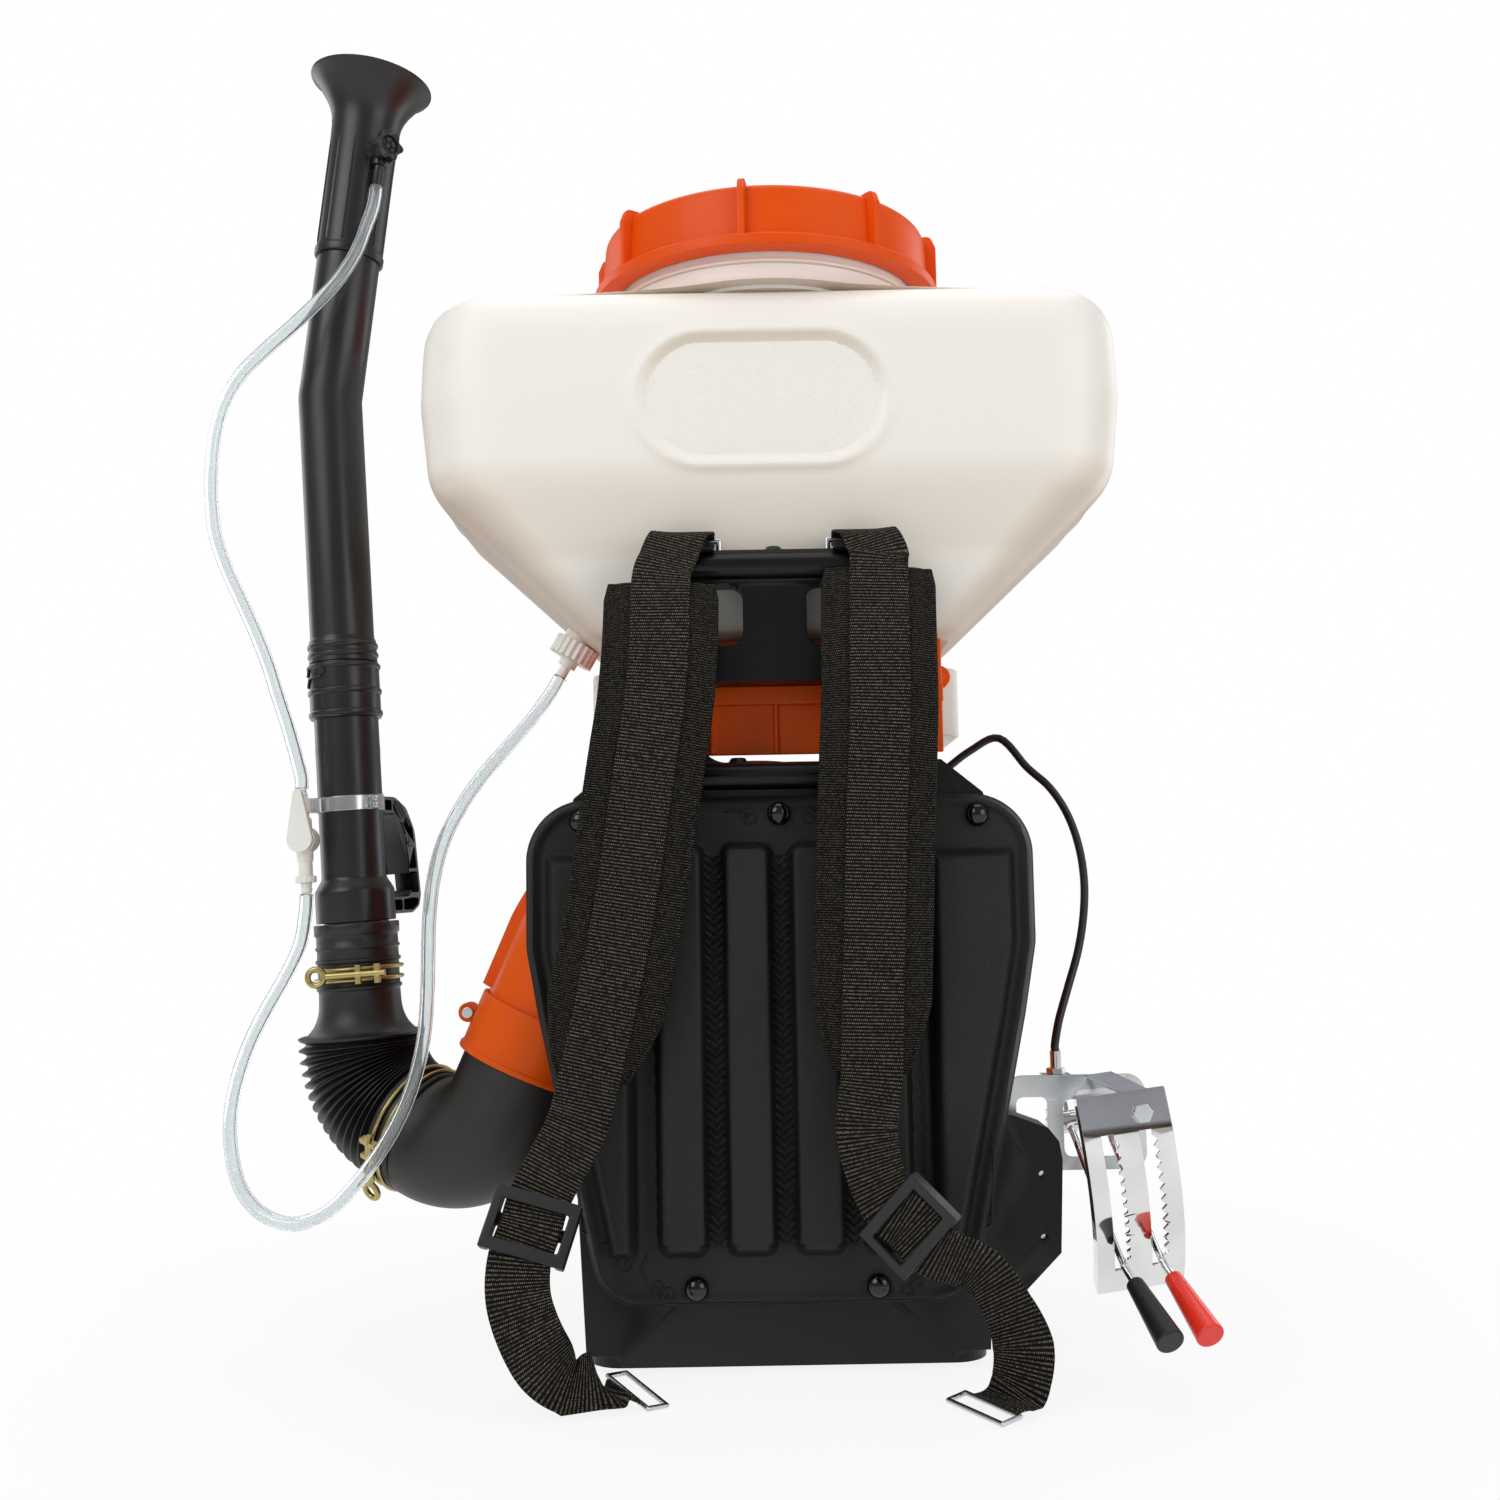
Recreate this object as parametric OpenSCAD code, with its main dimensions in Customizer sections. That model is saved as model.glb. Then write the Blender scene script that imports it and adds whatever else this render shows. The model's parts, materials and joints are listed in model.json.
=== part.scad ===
// Motorised knapsack mist blower: a backpack sprayer with a fan, a tank over it and a blowing wand.
// Millimetres. +Z is up, -Y faces the wearer's back, and the origin is under the middle of the base.

/* [Carrier frame] */
// Width of the frame's base
base_w = 268; // [250:1:300]
// Depth of the frame's base, front to back
base_d = 290; // [270:1:320]
// Height of the base slab
base_h = 34; // [30:1:40]
// Thickness of the upright back plate
plate_t = 25; // [20:1:30]
// Front face of the back plate
plate_front = -145; // [-150:1:-142]
// Top of the frame's carrying bar
frame_top = 549; // [546:1:556]
// Half width of the hoop above the pad
hoop_half = 92; // [88:1:98]
// Height of the cross bar's top, just above the pad
bar_top = 401; // [396:1:404]
// Half width of the arch under the hoop
arch_half = 54; // [48:1:58]

/* [Back pad] */
// Half width of the pad at its shoulders
pad_half = 172; // [165:1:178]
// Top edge of the pad
pad_top = 377; // [372:1:382]
// Bottom edge of the pad
pad_bottom = 40; // [38:1:46]
// Thickness of the pad's sheet
pad_t = 10; // [8:1:12]
// How far the pad's ribs stand out of its sheet
rib_rise = 14; // [10:1:17]
// Width of one of the four middle ribs
rib_w = 36; // [30:1:38]
// Distance between the middle ribs
rib_pitch = 45; // [42:1:50]

/* [Fan] */
// Height of the fan's axis
fan_z = 215; // [212:1:220]
// Middle plane of the fan housing
fan_y = -68; // [-69:1:-66]
// Radius of the air duct, and half the depth of the housing
duct_r = 46; // [44:1:46]
// Wall of the fan housing
housing_wall = 2.5; // [2:0.5:3]
// Radius of the impeller
impeller_r = 98; // [90:1:100]
// Number of impeller blades
blade_count = 20; // [12:1:28]
// Lean of the outlet duct away from straight down
outlet_lean = 23.6; // [20:0.1:27]

/* [Wand] */
// Radius of the elbow's bend
elbow_bend_r = 48; // [48:1:54]
// Turn of the elbow away from the wearer
elbow_turn = 25; // [18:1:32]
// Radius of the bellows' bend
bellows_bend_r = 66; // [64:1:74]
// Number of ribs on the bellows
bellows_ribs = 13; // [9:1:16]
// Lean of the wand's lower tube
wand_lean = 3.2; // [2:0.1:5]
// Outer radius of the wand's tubes
tube_r = 24; // [22:0.5:25]
// Wall of the wand's tubes
tube_wall = 2; // [1.5:0.5:3]
// Bend between the wand's lower and upper tube
wand_bend = 10.1; // [5:0.1:14]
// Length from the bellows to the middle of the bayonet coupler
coupler_at = 267; // [255:1:280]
// Length from the bellows to the wand's bend
bend_at = 495; // [480:1:510]
// Length of the upper tube from the bend to the nozzle's rim
upper_len = 259; // [250:1:270]
// Inner radius of the nozzle's throat
throat_r = 19; // [16:0.5:20]
// Outer radius of the nozzle's flared rim
rim_r = 47; // [42:1:52]

/* [Chemical tank] */
// Width of the tank
tank_w = 516; // [490:1:530]
// Width of the tank's flat bottom
foot_w = 250; // [244:1:254]
// Depth of the tank
tank_d = 262; // [250:1:270]
// Height of the tank's flat bottom
tank_z0 = 490; // [489:1:494]
// Height of the tank's flat top
tank_z1 = 749; // [740:1:760]
// Wall of the tank
tank_wall = 3; // [2:0.5:4]
// Outer radius of the tank's neck
neck_r = 119; // [110:1:120]
// Height of the neck above the tank
neck_h = 50; // [48:1:60]
// Outer radius of the lid's flange
lid_r = 136; // [132:1:140]
// Number of grip ribs on the lid
lid_ribs = 8; // [6:1:12]

/* [Levers] */
// Radius of the quadrant plate about the lever pivot
quadrant_r = 130; // [126:1:136]
// Width of the quadrant plate
quadrant_w = 57; // [54:1:64]
// Tilt of the quadrant plate, seen from the pad's side
quadrant_tilt = 7.5; // [4:0.5:10]
// Number of stops along each slot
stop_count = 12; // [8:1:14]
// Diameter of the lever rods
lever_d = 5; // [4:0.5:6]

/* [Straps and hoses] */
// Width of the strap webbing
webbing_w = 40; // [36:1:42]
// Thickness of the strap webbing
webbing_t = 2.4; // [2:0.2:3]
// Width of the padded part of a strap
shoulder_w = 78; // [70:1:82]
// Thickness of the padded part of a strap
shoulder_t = 12; // [10:1:13]
// Outer diameter of the clear hoses
hose_d = 10; // [8:0.5:11]

/* [Fits] */
// Running clearance on the radius of turning parts
run_gap = 0.05; // [0.03:0.01:0.1]
// Clearance between parts that only seat on each other
seat_gap = 0.3; // [0.2:0.05:0.4]
// Clearance on the radius of fasteners and plugs in their holes
hole_gap = 0.1; // [0.05:0.01:0.2]

/* [Hidden] */
$fn = 48;

// ---- vectors and sweeps ----
function unit(v) = v / norm(v);
function tangent(p, i) = unit(p[min(i + 1, len(p) - 1)] - p[max(i - 1, 0)]);
function off_line(u, t) = unit(u - (u * t) * t);
// Side directions carried along a path without twist
function carried(p, first) = [
    for (i = 0, u = off_line(first, tangent(p, 0)); i < len(p);
        i = i + 1, u = i < len(p) ? off_line(u, tangent(p, i)) : u) u
];
// Points of a round ring: centre c, directions u and v, radius r
function ring(c, u, v, r, n) = [for (k = [0 : n - 1]) c + r * (cos(360 * k / n) * u + sin(360 * k / n) * v)];
// Side faces between rings a and a+1 of n points, starting at point index s
function band(s, a, n) = [
    for (k = [0 : n - 1], h = [0, 1])
        let (k2 = (k + 1) % n, p = s + a * n, q = s + (a + 1) * n)
            h == 0 ? [p + k, q + k, q + k2] : [p + k, q + k2, p + k2]
];
function flipped(f) = [for (i = [len(f) - 1 : -1 : 0]) f[i]];
function fan(s, n) = [for (k = [1 : n - 2]) [s, s + k, s + k + 1]];

// A solid through a list of closed rings with the same number of points
module loft(rings) {
    n = len(rings[0]);
    last = len(rings) - 1;
    polyhedron(
        points = [for (r = rings) each r],
        faces = concat(
            [for (a = [0 : last - 1]) each band(0, a, n)],
            [for (f = fan(0, n)) f],
            [for (f = fan(last * n, n)) flipped(f)]
        )
    );
}

// A round tube swept along points, solid
module cord(points, diameter, sides) {
    us = carried(points, [0, 1, 0]);
    loft([for (i = [0 : len(points) - 1])
        ring(points[i], us[i], cross(us[i], tangent(points, i)), diameter / 2, sides)]);
}

// A flat strip swept along points: w wide along side[i], t thick, with softened edges.
// Both wide faces are cut along the same diagonal, so that they stay apart where the strip twists.
strip_edge = [[-0.5, -0.25], [-0.46, -0.5], [0.46, -0.5], [0.5, -0.25],
              [0.5, 0.25], [0.46, 0.5], [-0.46, 0.5], [-0.5, 0.25]];
module strip(points, sides, w, t) {
    n = len(strip_edge);
    last = len(points) - 1;
    polyhedron(
        points = [for (i = [0 : last])
            let (
                d = tangent(points, i),
                s = off_line(sides[i], d),
                m = cross(d, s)
            ) each [for (e = strip_edge) points[i] + e[0] * w * s + e[1] * t * m]],
        faces = concat(
            [for (a = [0 : last - 1], k = [0 : n - 1], h = [0, 1])
                let (k2 = (k + 1) % n, p = a * n, q = p + n)
                    k == 5 ? (h == 0 ? [p + k, q + k, p + k2] : [q + k, q + k2, p + k2])
                    : h == 0 ? [p + k, q + k, q + k2] : [p + k, q + k2, p + k2]],
            fan(0, n),
            [for (f = fan(last * n, n)) flipped(f)]
        )
    );
}

// Puts a child's x, y and z axes along given directions at o
module placed(o, x, y, z) {
    multmatrix([
        [x[0], y[0], z[0], o[0]],
        [x[1], y[1], z[1], o[1]],
        [x[2], y[2], z[2], o[2]],
        [0, 0, 0, 1]
    ]) children();
}

// Turns a child's z axis to point along -Y, so a plate drawn in x and z gets its thickness forward
module facing(y) {
    translate([0, y, 0]) rotate([90, 0, 0]) children();
}

module round_rect(w, h, r) {
    square([w - 2 * r, h], center = true);
    square([w, h - 2 * r], center = true);
    for (x = [-1, 1], y = [-1, 1]) translate([x * (w / 2 - r), y * (h / 2 - r)]) circle(r);
}

module pipe(r_out, r_in, h) {
    difference() {
        cylinder(h = h, r = r_out);
        translate([0, 0, -1]) cylinder(h = h + 2, r = r_in);
    }
}

// ---- derived sizes ----
plate_back = plate_front + plate_t;
base_mid_y = plate_front + base_d / 2;
pad_face = plate_front - pad_t;
fan_front = fan_y - duct_r;
fan_back = fan_y + duct_r;

// Outlet: o_down runs down the collar, o_side points away from the wand's side of it
o_down = [-sin(outlet_lean), 0, -cos(outlet_lean)];
o_side = [-cos(outlet_lean), 0, sin(outlet_lean)];
scroll_start_r = 112;
scroll_end_r = scroll_start_r + 2 * duct_r;
scroll_end_angle = 180 - outlet_lean;
tongue_r = 4;
tongue_along = sqrt(pow(scroll_start_r + tongue_r, 2) - pow(scroll_start_r - tongue_r, 2));
tongue_angle = scroll_end_angle + atan(tongue_along / (scroll_start_r - tongue_r));
scroll_turn = scroll_end_angle + 360 - tongue_angle;
duct_len = 74;
duct_centre_r = scroll_start_r + duct_r;
fan_centre = [0, fan_y, fan_z];
duct_end = fan_centre + duct_centre_r * o_side + duct_len * o_down;
collar_len = 42;
collar_t = 4;
collar_rim = duct_end + 24 * o_down;

// Elbow
elbow_wall = 3;
elbow_straight = 25;
elbow_out = cos(elbow_turn) * o_side + [0, sin(elbow_turn), 0];
elbow_centre = collar_rim + elbow_straight * o_down + elbow_bend_r * elbow_out;
elbow_end = elbow_centre + elbow_bend_r * o_down;
spigot_len = 23.5;
spigot_r = duct_r - 5;

// Bellows: an arc from the elbow's end to the foot of the wand
wand_dir = [-sin(wand_lean), 0, cos(wand_lean)];
bellows_cuff = 28;
bellows_start = elbow_end + bellows_cuff * elbow_out;
bellows_turn = acos(elbow_out * wand_dir);
bellows_in = off_line(wand_dir, elbow_out);
bellows_centre = bellows_start + bellows_bend_r * bellows_in;
function bellows_at(a) = bellows_centre
    + bellows_bend_r * (sin(a) * elbow_out - cos(a) * bellows_in);
function bellows_dir(a) = cos(a) * elbow_out + sin(a) * bellows_in;
wand_foot = bellows_at(bellows_turn);
bellows_side = unit(cross(elbow_out, wand_dir));
bellows_sides = 16;
bellows_crest = 46;
bellows_root = 41;
facet = cos(180 / bellows_sides);
cuff_r = 30;
cuff_top = 88;

module at_wand() {
    translate(wand_foot) rotate([0, -wand_lean, 0]) children();
}
module at_upper() {
    at_wand() translate([0, 0, bend_at]) rotate([0, wand_bend, 0]) children();
}

// ---- carrier frame ----
rivet_spots = [[-134, 362], [0, 365], [134, 362], [-60, 53], [60, 53]];
rivet_stem_r = 3;
rivet_head_r = 8;
mount_spots = [[-96, 300], [96, 300], [-48, 148], [48, 148]];
bracket_screws = [[175, 118], [175, 76]];
mount_r = 13;
mount_depth = 8;
bow_leg_x = [38, 84];
bow_wire = 4;
// The lower plug sits on the flat of the arch, clear of its rounded corner
plug_x = 27 - arch_half;
flange_x = 189;

module frame_outline() {
    difference() {
        union() {
            polygon([[-base_w / 2, 8], [base_w / 2, 8], [150, 330], [140, 378], [112, bar_top],
                     [-112, bar_top], [-140, 378], [-150, 330]]);
            translate([0, (frame_top + 360) / 2])
                round_rect(2 * hoop_half, frame_top - 360, 24);
        }
        // the arch over the cross bar
        translate([0, bar_top + 28]) round_rect(2 * arch_half, 56, 20);
        // two windows beside the middle post
        for (x = [-1, 1]) translate([x * 42, 504]) round_rect(40, 44, 9);
    }
}

module carrier_frame() color("#1c1c1d") difference() {
    union() {
        facing(plate_back) linear_extrude(plate_t) frame_outline();
        translate([0, base_mid_y, 0]) linear_extrude(base_h) round_rect(base_w, base_d, 24);
        // box on the right edge that carries the lever bracket
        facing(-88) linear_extrude(40)
            polygon([[128, 160], [156, 158], [flange_x - 9, 149], [flange_x - 2, 140],
                     [flange_x, 128], [flange_x - 3, 66], [160, 40], [128, 40]]);
        // gussets between the base and the plate
        for (x = [-1, 1]) translate([x * 122 - 5, plate_back - 2, base_h - 2])
            rotate([90, 0, 90]) linear_extrude(10) polygon([[0, 0], [88, 0], [30, 50], [0, 64]]);
        // rounded carrying bar and cross bar
        for (z = [frame_top - 12, bar_top - 10]) translate([-80, plate_front, z])
            rotate([0, 90, 0]) cylinder(h = 160, r = 9);
    }
    // open ribs under the base
    for (x = [-1.5 : 1 : 1.5], y = [-1, 0, 1])
        translate([x * 61, base_mid_y + y * 84, -1]) linear_extrude(base_h - 6)
            round_rect(51, 72, 10);
    for (s = rivet_spots) translate([s[0], plate_front - 1, s[1]])
        rotate([-90, 0, 0]) cylinder(h = 15, r = rivet_stem_r + hole_gap);
    for (s = mount_spots) translate([s[0], plate_back - mount_depth, s[1]])
        rotate([-90, 0, 0]) cylinder(h = mount_depth + 1, r = mount_r + hole_gap);
    for (x = bow_leg_x, m = [-1, 1]) translate([m * x, plate_front + plate_t / 2, frame_top - 14])
        cylinder(h = 15, r = bow_wire / 2 + hole_gap);
    // room for the fan housing beside that box
    translate([0, plate_back + 0.5, fan_z]) rotate([-90, 0, 0]) cylinder(h = 42, r = 164);
    // seats of the two plugs
    translate([0, plate_front + 11, frame_top - 8]) cylinder(h = 9, r = 3 + hole_gap);
    translate([plug_x, plate_front + 11, bar_top - 8]) cylinder(h = 9, r = 3 + hole_gap);
    // screw holes for the lever bracket
    for (s = bracket_screws) translate([s[0], -129, s[1]])
        rotate([-90, 0, 0]) cylinder(h = 42, r = 2.5 + hole_gap);
}

module frame_plugs() color("#141414") {
    for (s = [[0, frame_top], [plug_x, bar_top]]) translate([s[0], plate_front + 11, s[1]]) {
        cylinder(h = 4, r1 = 7, r2 = 5);
        translate([0, 0, -7]) cylinder(h = 8, r = 3);
    }
}

module vibration_mounts() color("#262626") for (s = mount_spots)
    translate([s[0], plate_back - mount_depth, s[1]]) rotate([-90, 0, 0])
        cylinder(h = fan_front - plate_back + mount_depth, r = mount_r);

// ---- back pad ----
pad_corners = [[pad_half - 42, pad_top - 42, 42], [pad_half - 45, 280, 45],
               [118, 150, 28], [96, pad_bottom + 34, 34]];

module pad_outline(inset = 0) {
    hull() for (c = pad_corners, m = [-1, 1])
        translate([m * c[0], c[1]]) circle(r = c[2] - inset, $fn = 32);
}

// A raised rib with round ends: x and z of its middle, length, width and rise
module lens_rib(len_z, w, rise) {
    arc_r = (w * w / 4 + rise * rise) / (2 * rise);
    module crown() intersection() {
        translate([0, rise - arc_r]) circle(r = arc_r, $fn = 64);
        translate([-w / 2, 0]) square([w, rise]);
    }
    straight = len_z - w;
    translate([0, 0, -straight / 2]) linear_extrude(straight) rotate(180) crown();
    for (z = [-1, 1]) translate([0, 0, z * straight / 2]) rotate([90, 0, 0])
        rotate_extrude() intersection() {
            crown();
            square([w, rise + 1]);
        }
}

rib_bottom = 72;
rib_top = 346;

module back_pad() color("#3a3a3a") difference() {
    union() {
        facing(plate_front) linear_extrude(pad_t) pad_outline();
        // raised rim
        facing(pad_face + 0.01) linear_extrude(4) difference() {
            pad_outline();
            pad_outline(7);
        }
        for (i = [-1.5 : 1 : 1.5]) translate([i * rib_pitch, pad_face + 0.5, (rib_bottom + rib_top) / 2])
            lens_rib(rib_top - rib_bottom, rib_w, rib_rise);
        for (m = [-1, 1]) translate([m * 130, pad_face + 0.5, 232]) rotate([0, m * 5, 0])
            lens_rib(220, 46, rib_rise - 3);
    }
    for (s = rivet_spots) translate([s[0], plate_front + 1, s[1]]) rotate([90, 0, 0]) {
        cylinder(h = 40, r = rivet_stem_r + hole_gap);
        translate([0, 0, pad_t + 1]) cylinder(h = 30, r = rivet_head_r + seat_gap);
    }
}

module pad_rivets() color("#0e0e0e") for (s = rivet_spots)
    translate([s[0], pad_face, s[1]]) rotate([90, 0, 0]) {
        rotate_extrude() intersection() {
            translate([0, -4]) circle(r = 9.5);
            square([rivet_head_r, 6]);
        }
        translate([0, 0, -pad_t - 13]) cylinder(h = pad_t + 14, r = rivet_stem_r);
    }

// ---- fan housing ----
// The housing's shoulders are rounded by the duct's own radius, in these steps
round_steps = [18, 36, 54, 72, 86];
flange_w = 7;
flange_t = 4;
bare_rim = 0.15;
outer_profile = concat([[-1, 0], [-1, flange_t], [0, flange_t]],
    [for (a = round_steps) [duct_r * (1 - cos(a)), duct_r * sin(a)]]);
inner_r = duct_r - housing_wall;
inner_profile = concat([[housing_wall, 0], [housing_wall, 1], [housing_wall, flange_t]],
    [for (a = round_steps) [duct_r - inner_r * cos(a), inner_r * sin(a)]]);
scroll_steps = 44;
// Stations run from the duct's outer end, back round the scroll, over the tongue and down the duct.
// Each is a point of the outline, the direction that leads into the housing and the flange's width.
duct_socket = collar_len - 24 + 2;
stations = concat(
    [for (s = [0, duct_socket, duct_socket + 1, duct_len - 10])
        [scroll_end_r * o_side + (duct_len - s) * o_down, -o_side,
         s > duct_socket ? flange_w : bare_rim]],
    [for (i = [0 : scroll_steps])
        let (
            f = 1 - i / scroll_steps,
            a = tongue_angle + f * scroll_turn,
            r = scroll_start_r + f * (scroll_end_r - scroll_start_r),
            d = [cos(a), 0, sin(a)]
        ) [r * d, -d, flange_w]],
    [for (i = [1 : 5])
        let (
            a0 = tongue_angle + 180,
            a1 = scroll_end_angle + 360,
            h = a0 + (a1 - a0) * i / 5,
            d = [cos(h), 0, sin(h)],
            c = (scroll_start_r + tongue_r) * [cos(tongue_angle), 0, sin(tongue_angle)]
        ) [c + tongue_r * d, d, bare_rim]],
    [for (s = [0]) [scroll_start_r * o_side + (duct_len - s) * o_down, o_side, bare_rim]]
);

module housing_shell(side) {
    n = len(stations);
    k = len(outer_profile);
    function pt(j, q) = fan_centre + stations[j][0]
        + (q[0] < 0 ? -stations[j][2] : q[0]) * stations[j][1] + [0, side * q[1], 0];
    outer = [for (j = [0 : n - 1]) for (q = outer_profile) pt(j, q)];
    inner = [for (j = [0 : n - 1]) for (q = inner_profile) pt(j, q)];
    m = n * k;
    walls = [for (j = [0 : n - 2], i = [0 : k - 2]) let (a = j * k + i, b = a + k)
        each [[a, b, b + 1], [a, b + 1, a + 1]]];
    liner = [for (j = [0 : n - 2], i = [0 : k - 2]) let (a = m + j * k + i, b = a + k)
        each [[a, b + 1, b], [a, a + 1, b + 1]]];
    rim = [for (j = [0 : n - 2]) let (a = j * k, b = a + k)
        each [[a, m + a, m + b], [a, m + b, b]]];
    end0 = [for (i = [0 : k - 2]) each [[i, i + 1, m + i + 1], [i, m + i + 1, m + i]]];
    e = (n - 1) * k;
    end1 = [for (i = [0 : k - 2])
        each [[e + i, m + e + i + 1, e + i + 1], [e + i, m + e + i, m + e + i + 1]]];
    t = k - 1;
    mouth = [[t, e + t, m + e + t], [t, m + e + t, m + t]];
    cap_out = [[for (j = [0 : n - 1]) j * k + t]];
    cap_in = [[for (j = [n - 1 : -1 : 0]) m + j * k + t]];
    all = concat(walls, liner, rim, end0, end1, mouth, cap_out, cap_in);
    polyhedron(points = concat(outer, inner), faces = side < 0 ? all : [for (f = all) flipped(f)]);
}

inlet_r = 66;
hub_boss_r = 30;
shaft_r = 9;

module fan_housing_front() color("#f26a16") housing_shell(-1);

module fan_housing_rear() color("#f26a16") difference() {
    union() {
        difference() {
            housing_shell(1);
            translate([0, fan_back - 6, fan_z]) rotate([-90, 0, 0]) cylinder(h = 10, r = inlet_r);
        }
        // spider that carries the engine over the air inlet
        translate([0, fan_back - housing_wall, fan_z]) rotate([-90, 0, 0])
            linear_extrude(4) {
                circle(hub_boss_r);
                for (a = [45 : 90 : 315]) rotate(a) translate([hub_boss_r - 4, -6])
                    square([inlet_r - hub_boss_r + 10, 12]);
            }
    }
    translate([0, fan_back - 8, fan_z]) rotate([-90, 0, 0]) cylinder(h = 14, r = shaft_r + 2);
}

// Screws round the flange, by angle from the fan's axis
flange_screws = [-60, -20, 20, 60, 100, 135];
function scroll_r(a) = scroll_start_r + 2 * duct_r
    * ((a < tongue_angle ? a + 360 : a) - tongue_angle) / scroll_turn;
collar_r = duct_r + 4;
lug_at = collar_rim - 22 * o_down + (collar_r + 4) * o_side;
lug_r = 7;

module housing_screws() color("#b9bcc0") {
    for (a = flange_screws) let (r = scroll_r(a) + flange_w / 2 + 0.5)
        translate([r * cos(a), fan_y - flange_t - 3, fan_z + r * sin(a)]) rotate([-90, 0, 0]) {
            cylinder(h = 3, r = 3);
            cylinder(h = 2 * flange_t + 2, r = 1.5);
        }
    translate(lug_at - [0, lug_r + 3, 0]) rotate([-90, 0, 0]) {
        cylinder(h = 3, r = 4);
        cylinder(h = 2 * lug_r, r = 2);
    }
}

module along_outlet() {
    placed(collar_rim, [0, 1, 0], cross(-o_down, [0, 1, 0]), -o_down) children();
}

module outlet_collar() color("#f26a16") difference() {
    union() {
        along_outlet() {
            cylinder(h = collar_len, r = collar_r);
            translate([0, 0, -0.5]) cylinder(h = 4, r = collar_r + 1.5);
        }
        translate(lug_at - [0, lug_r, 0]) rotate([-90, 0, 0]) cylinder(h = 2 * lug_r, r = lug_r);
    }
    along_outlet() translate([0, 0, -2]) cylinder(h = collar_len + 4, r = duct_r + 0.4);
    translate(lug_at - [0, lug_r + 1, 0]) rotate([-90, 0, 0])
        cylinder(h = 2 * lug_r + 2, r = 2 + hole_gap);
}

// A hollow tube through rings of [centre, axis, outer radius, inner radius], with n sides
module tube_through(rings, side, n) {
    m = len(rings) * n;
    skins = [for (w = [2, 3]) [for (q = rings) each ring(q[0], side, cross(side, q[1]), q[w], n)]];
    polyhedron(
        points = concat(skins[0], skins[1]),
        faces = concat(
            [for (a = [0 : len(rings) - 2]) each band(0, a, n)],
            [for (a = [0 : len(rings) - 2]) each [for (f = band(m, a, n)) flipped(f)]],
            [for (k = [0 : n - 1]) let (k2 = (k + 1) % n)
                each [[k, k2, m + k2], [k, m + k2, m + k]]],
            [for (k = [0 : n - 1]) let (k2 = (k + 1) % n, e = m - n)
                each [[e + k, m + e + k2, e + k2], [e + k, m + e + k, m + e + k2]]]
        )
    );
}

elbow_in = duct_r - elbow_wall;
elbow_rings = concat(
    [[collar_rim - 22 * o_down, o_down, duct_r, elbow_in]],
    [for (a = [0 : 9 : 90])
        [elbow_centre - elbow_bend_r * (cos(a) * elbow_out - sin(a) * o_down),
         cos(a) * o_down + sin(a) * elbow_out, duct_r, elbow_in]],
    [for (e = [[4, duct_r, spigot_r - 3], [4.2, spigot_r, spigot_r - 3],
               [spigot_len, spigot_r, spigot_r - 3]])
        [elbow_end + e[0] * elbow_out, elbow_out, e[1], e[2]]]
);
module outlet_elbow() color("#2a2723") tube_through(elbow_rings, unit(cross(o_down, elbow_out)), 32);

// ---- bellows ----
bellows_seat = (spigot_r + hole_gap + 0.2) / facet;
// Rings of the bellows: centre, axis, outer and inner radius
lower_rings = [for (e = [[5, 44.5, bellows_seat], [8, 46.5, bellows_seat], [11, 44.5, bellows_seat],
                         [20, 44.5, bellows_seat], [24, 46.5, bellows_seat]])
    [elbow_end + e[0] * elbow_out, elbow_out, e[1], e[2]]];
rib_rings = [for (i = [0 : bellows_ribs - 1], h = [0, 1])
    let (a = bellows_turn * (i + 0.5 * h + 0.25) / bellows_ribs)
        [bellows_at(a), bellows_dir(a), h == 0 ? bellows_root : bellows_crest, bellows_root - 3]];
tube_seat = (tube_r + hole_gap) / facet;
upper_rings = [for (e = [[2, 44, 37], [5, 44, 36], [6, 39, 35], [14, 33, 30], [22, cuff_r + 0.5, 27.5],
                         [28, cuff_r, tube_seat], [38, cuff_r, tube_seat], [40, 31.5, tube_seat],
                         [42, cuff_r, tube_seat], [58, cuff_r, tube_seat], [60, 31.5, tube_seat],
                         [62, cuff_r, tube_seat], [68, cuff_r, tube_seat], [70, 31.2, tube_seat],
                         [72, cuff_r, tube_seat], [79, cuff_r, tube_seat], [80, 31.5, tube_seat],
                         [cuff_top, 31.5, tube_seat]])
    [wand_foot + e[0] * wand_dir, wand_dir, e[1], e[2]]];
bellows_rings = concat(lower_rings, rib_rings, upper_rings);

module bellows() color("#101010") tube_through(bellows_rings, bellows_side, bellows_sides);

// Wire hose clamp with its eye bolt: r inside, drawn round z
module hose_clamp(r) {
    wire = 1.6;
    for (z = [-4, 4]) translate([0, 0, z]) rotate_extrude() translate([r + wire, 0]) circle(wire, $fn = 16);
    // bolt across the front, with its eye and its cross piece
    translate([0, -r - 5.5, 0]) {
        translate([-16, 0, 0]) rotate([0, 90, 0]) cylinder(h = 44, r = 2.6);
        translate([-23, 0, 0]) rotate([90, 0, 0]) rotate_extrude() translate([6, 0]) circle(2.2, $fn = 16);
        translate([6, -2, -7]) cube([4, 5, 14]);
        translate([20, -2, -7]) cube([4, 5, 14]);
    }
}

module bellows_clamp_lower() color("#c9a94a")
    placed(elbow_end + 16 * elbow_out, unit(cross([0, 1, 0], elbow_out)),
        off_line([0, 1, 0], elbow_out), elbow_out)
        rotate(-38) hose_clamp(44.8);

module bellows_clamp_upper() color("#c9a94a")
    at_wand() translate([0, 0, 50]) hose_clamp(cuff_r + 0.2);

// ---- wand ----
coupler_r = tube_r + 3.5;
coupler_len = 46;
tube_in = tube_r - tube_wall;
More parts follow.
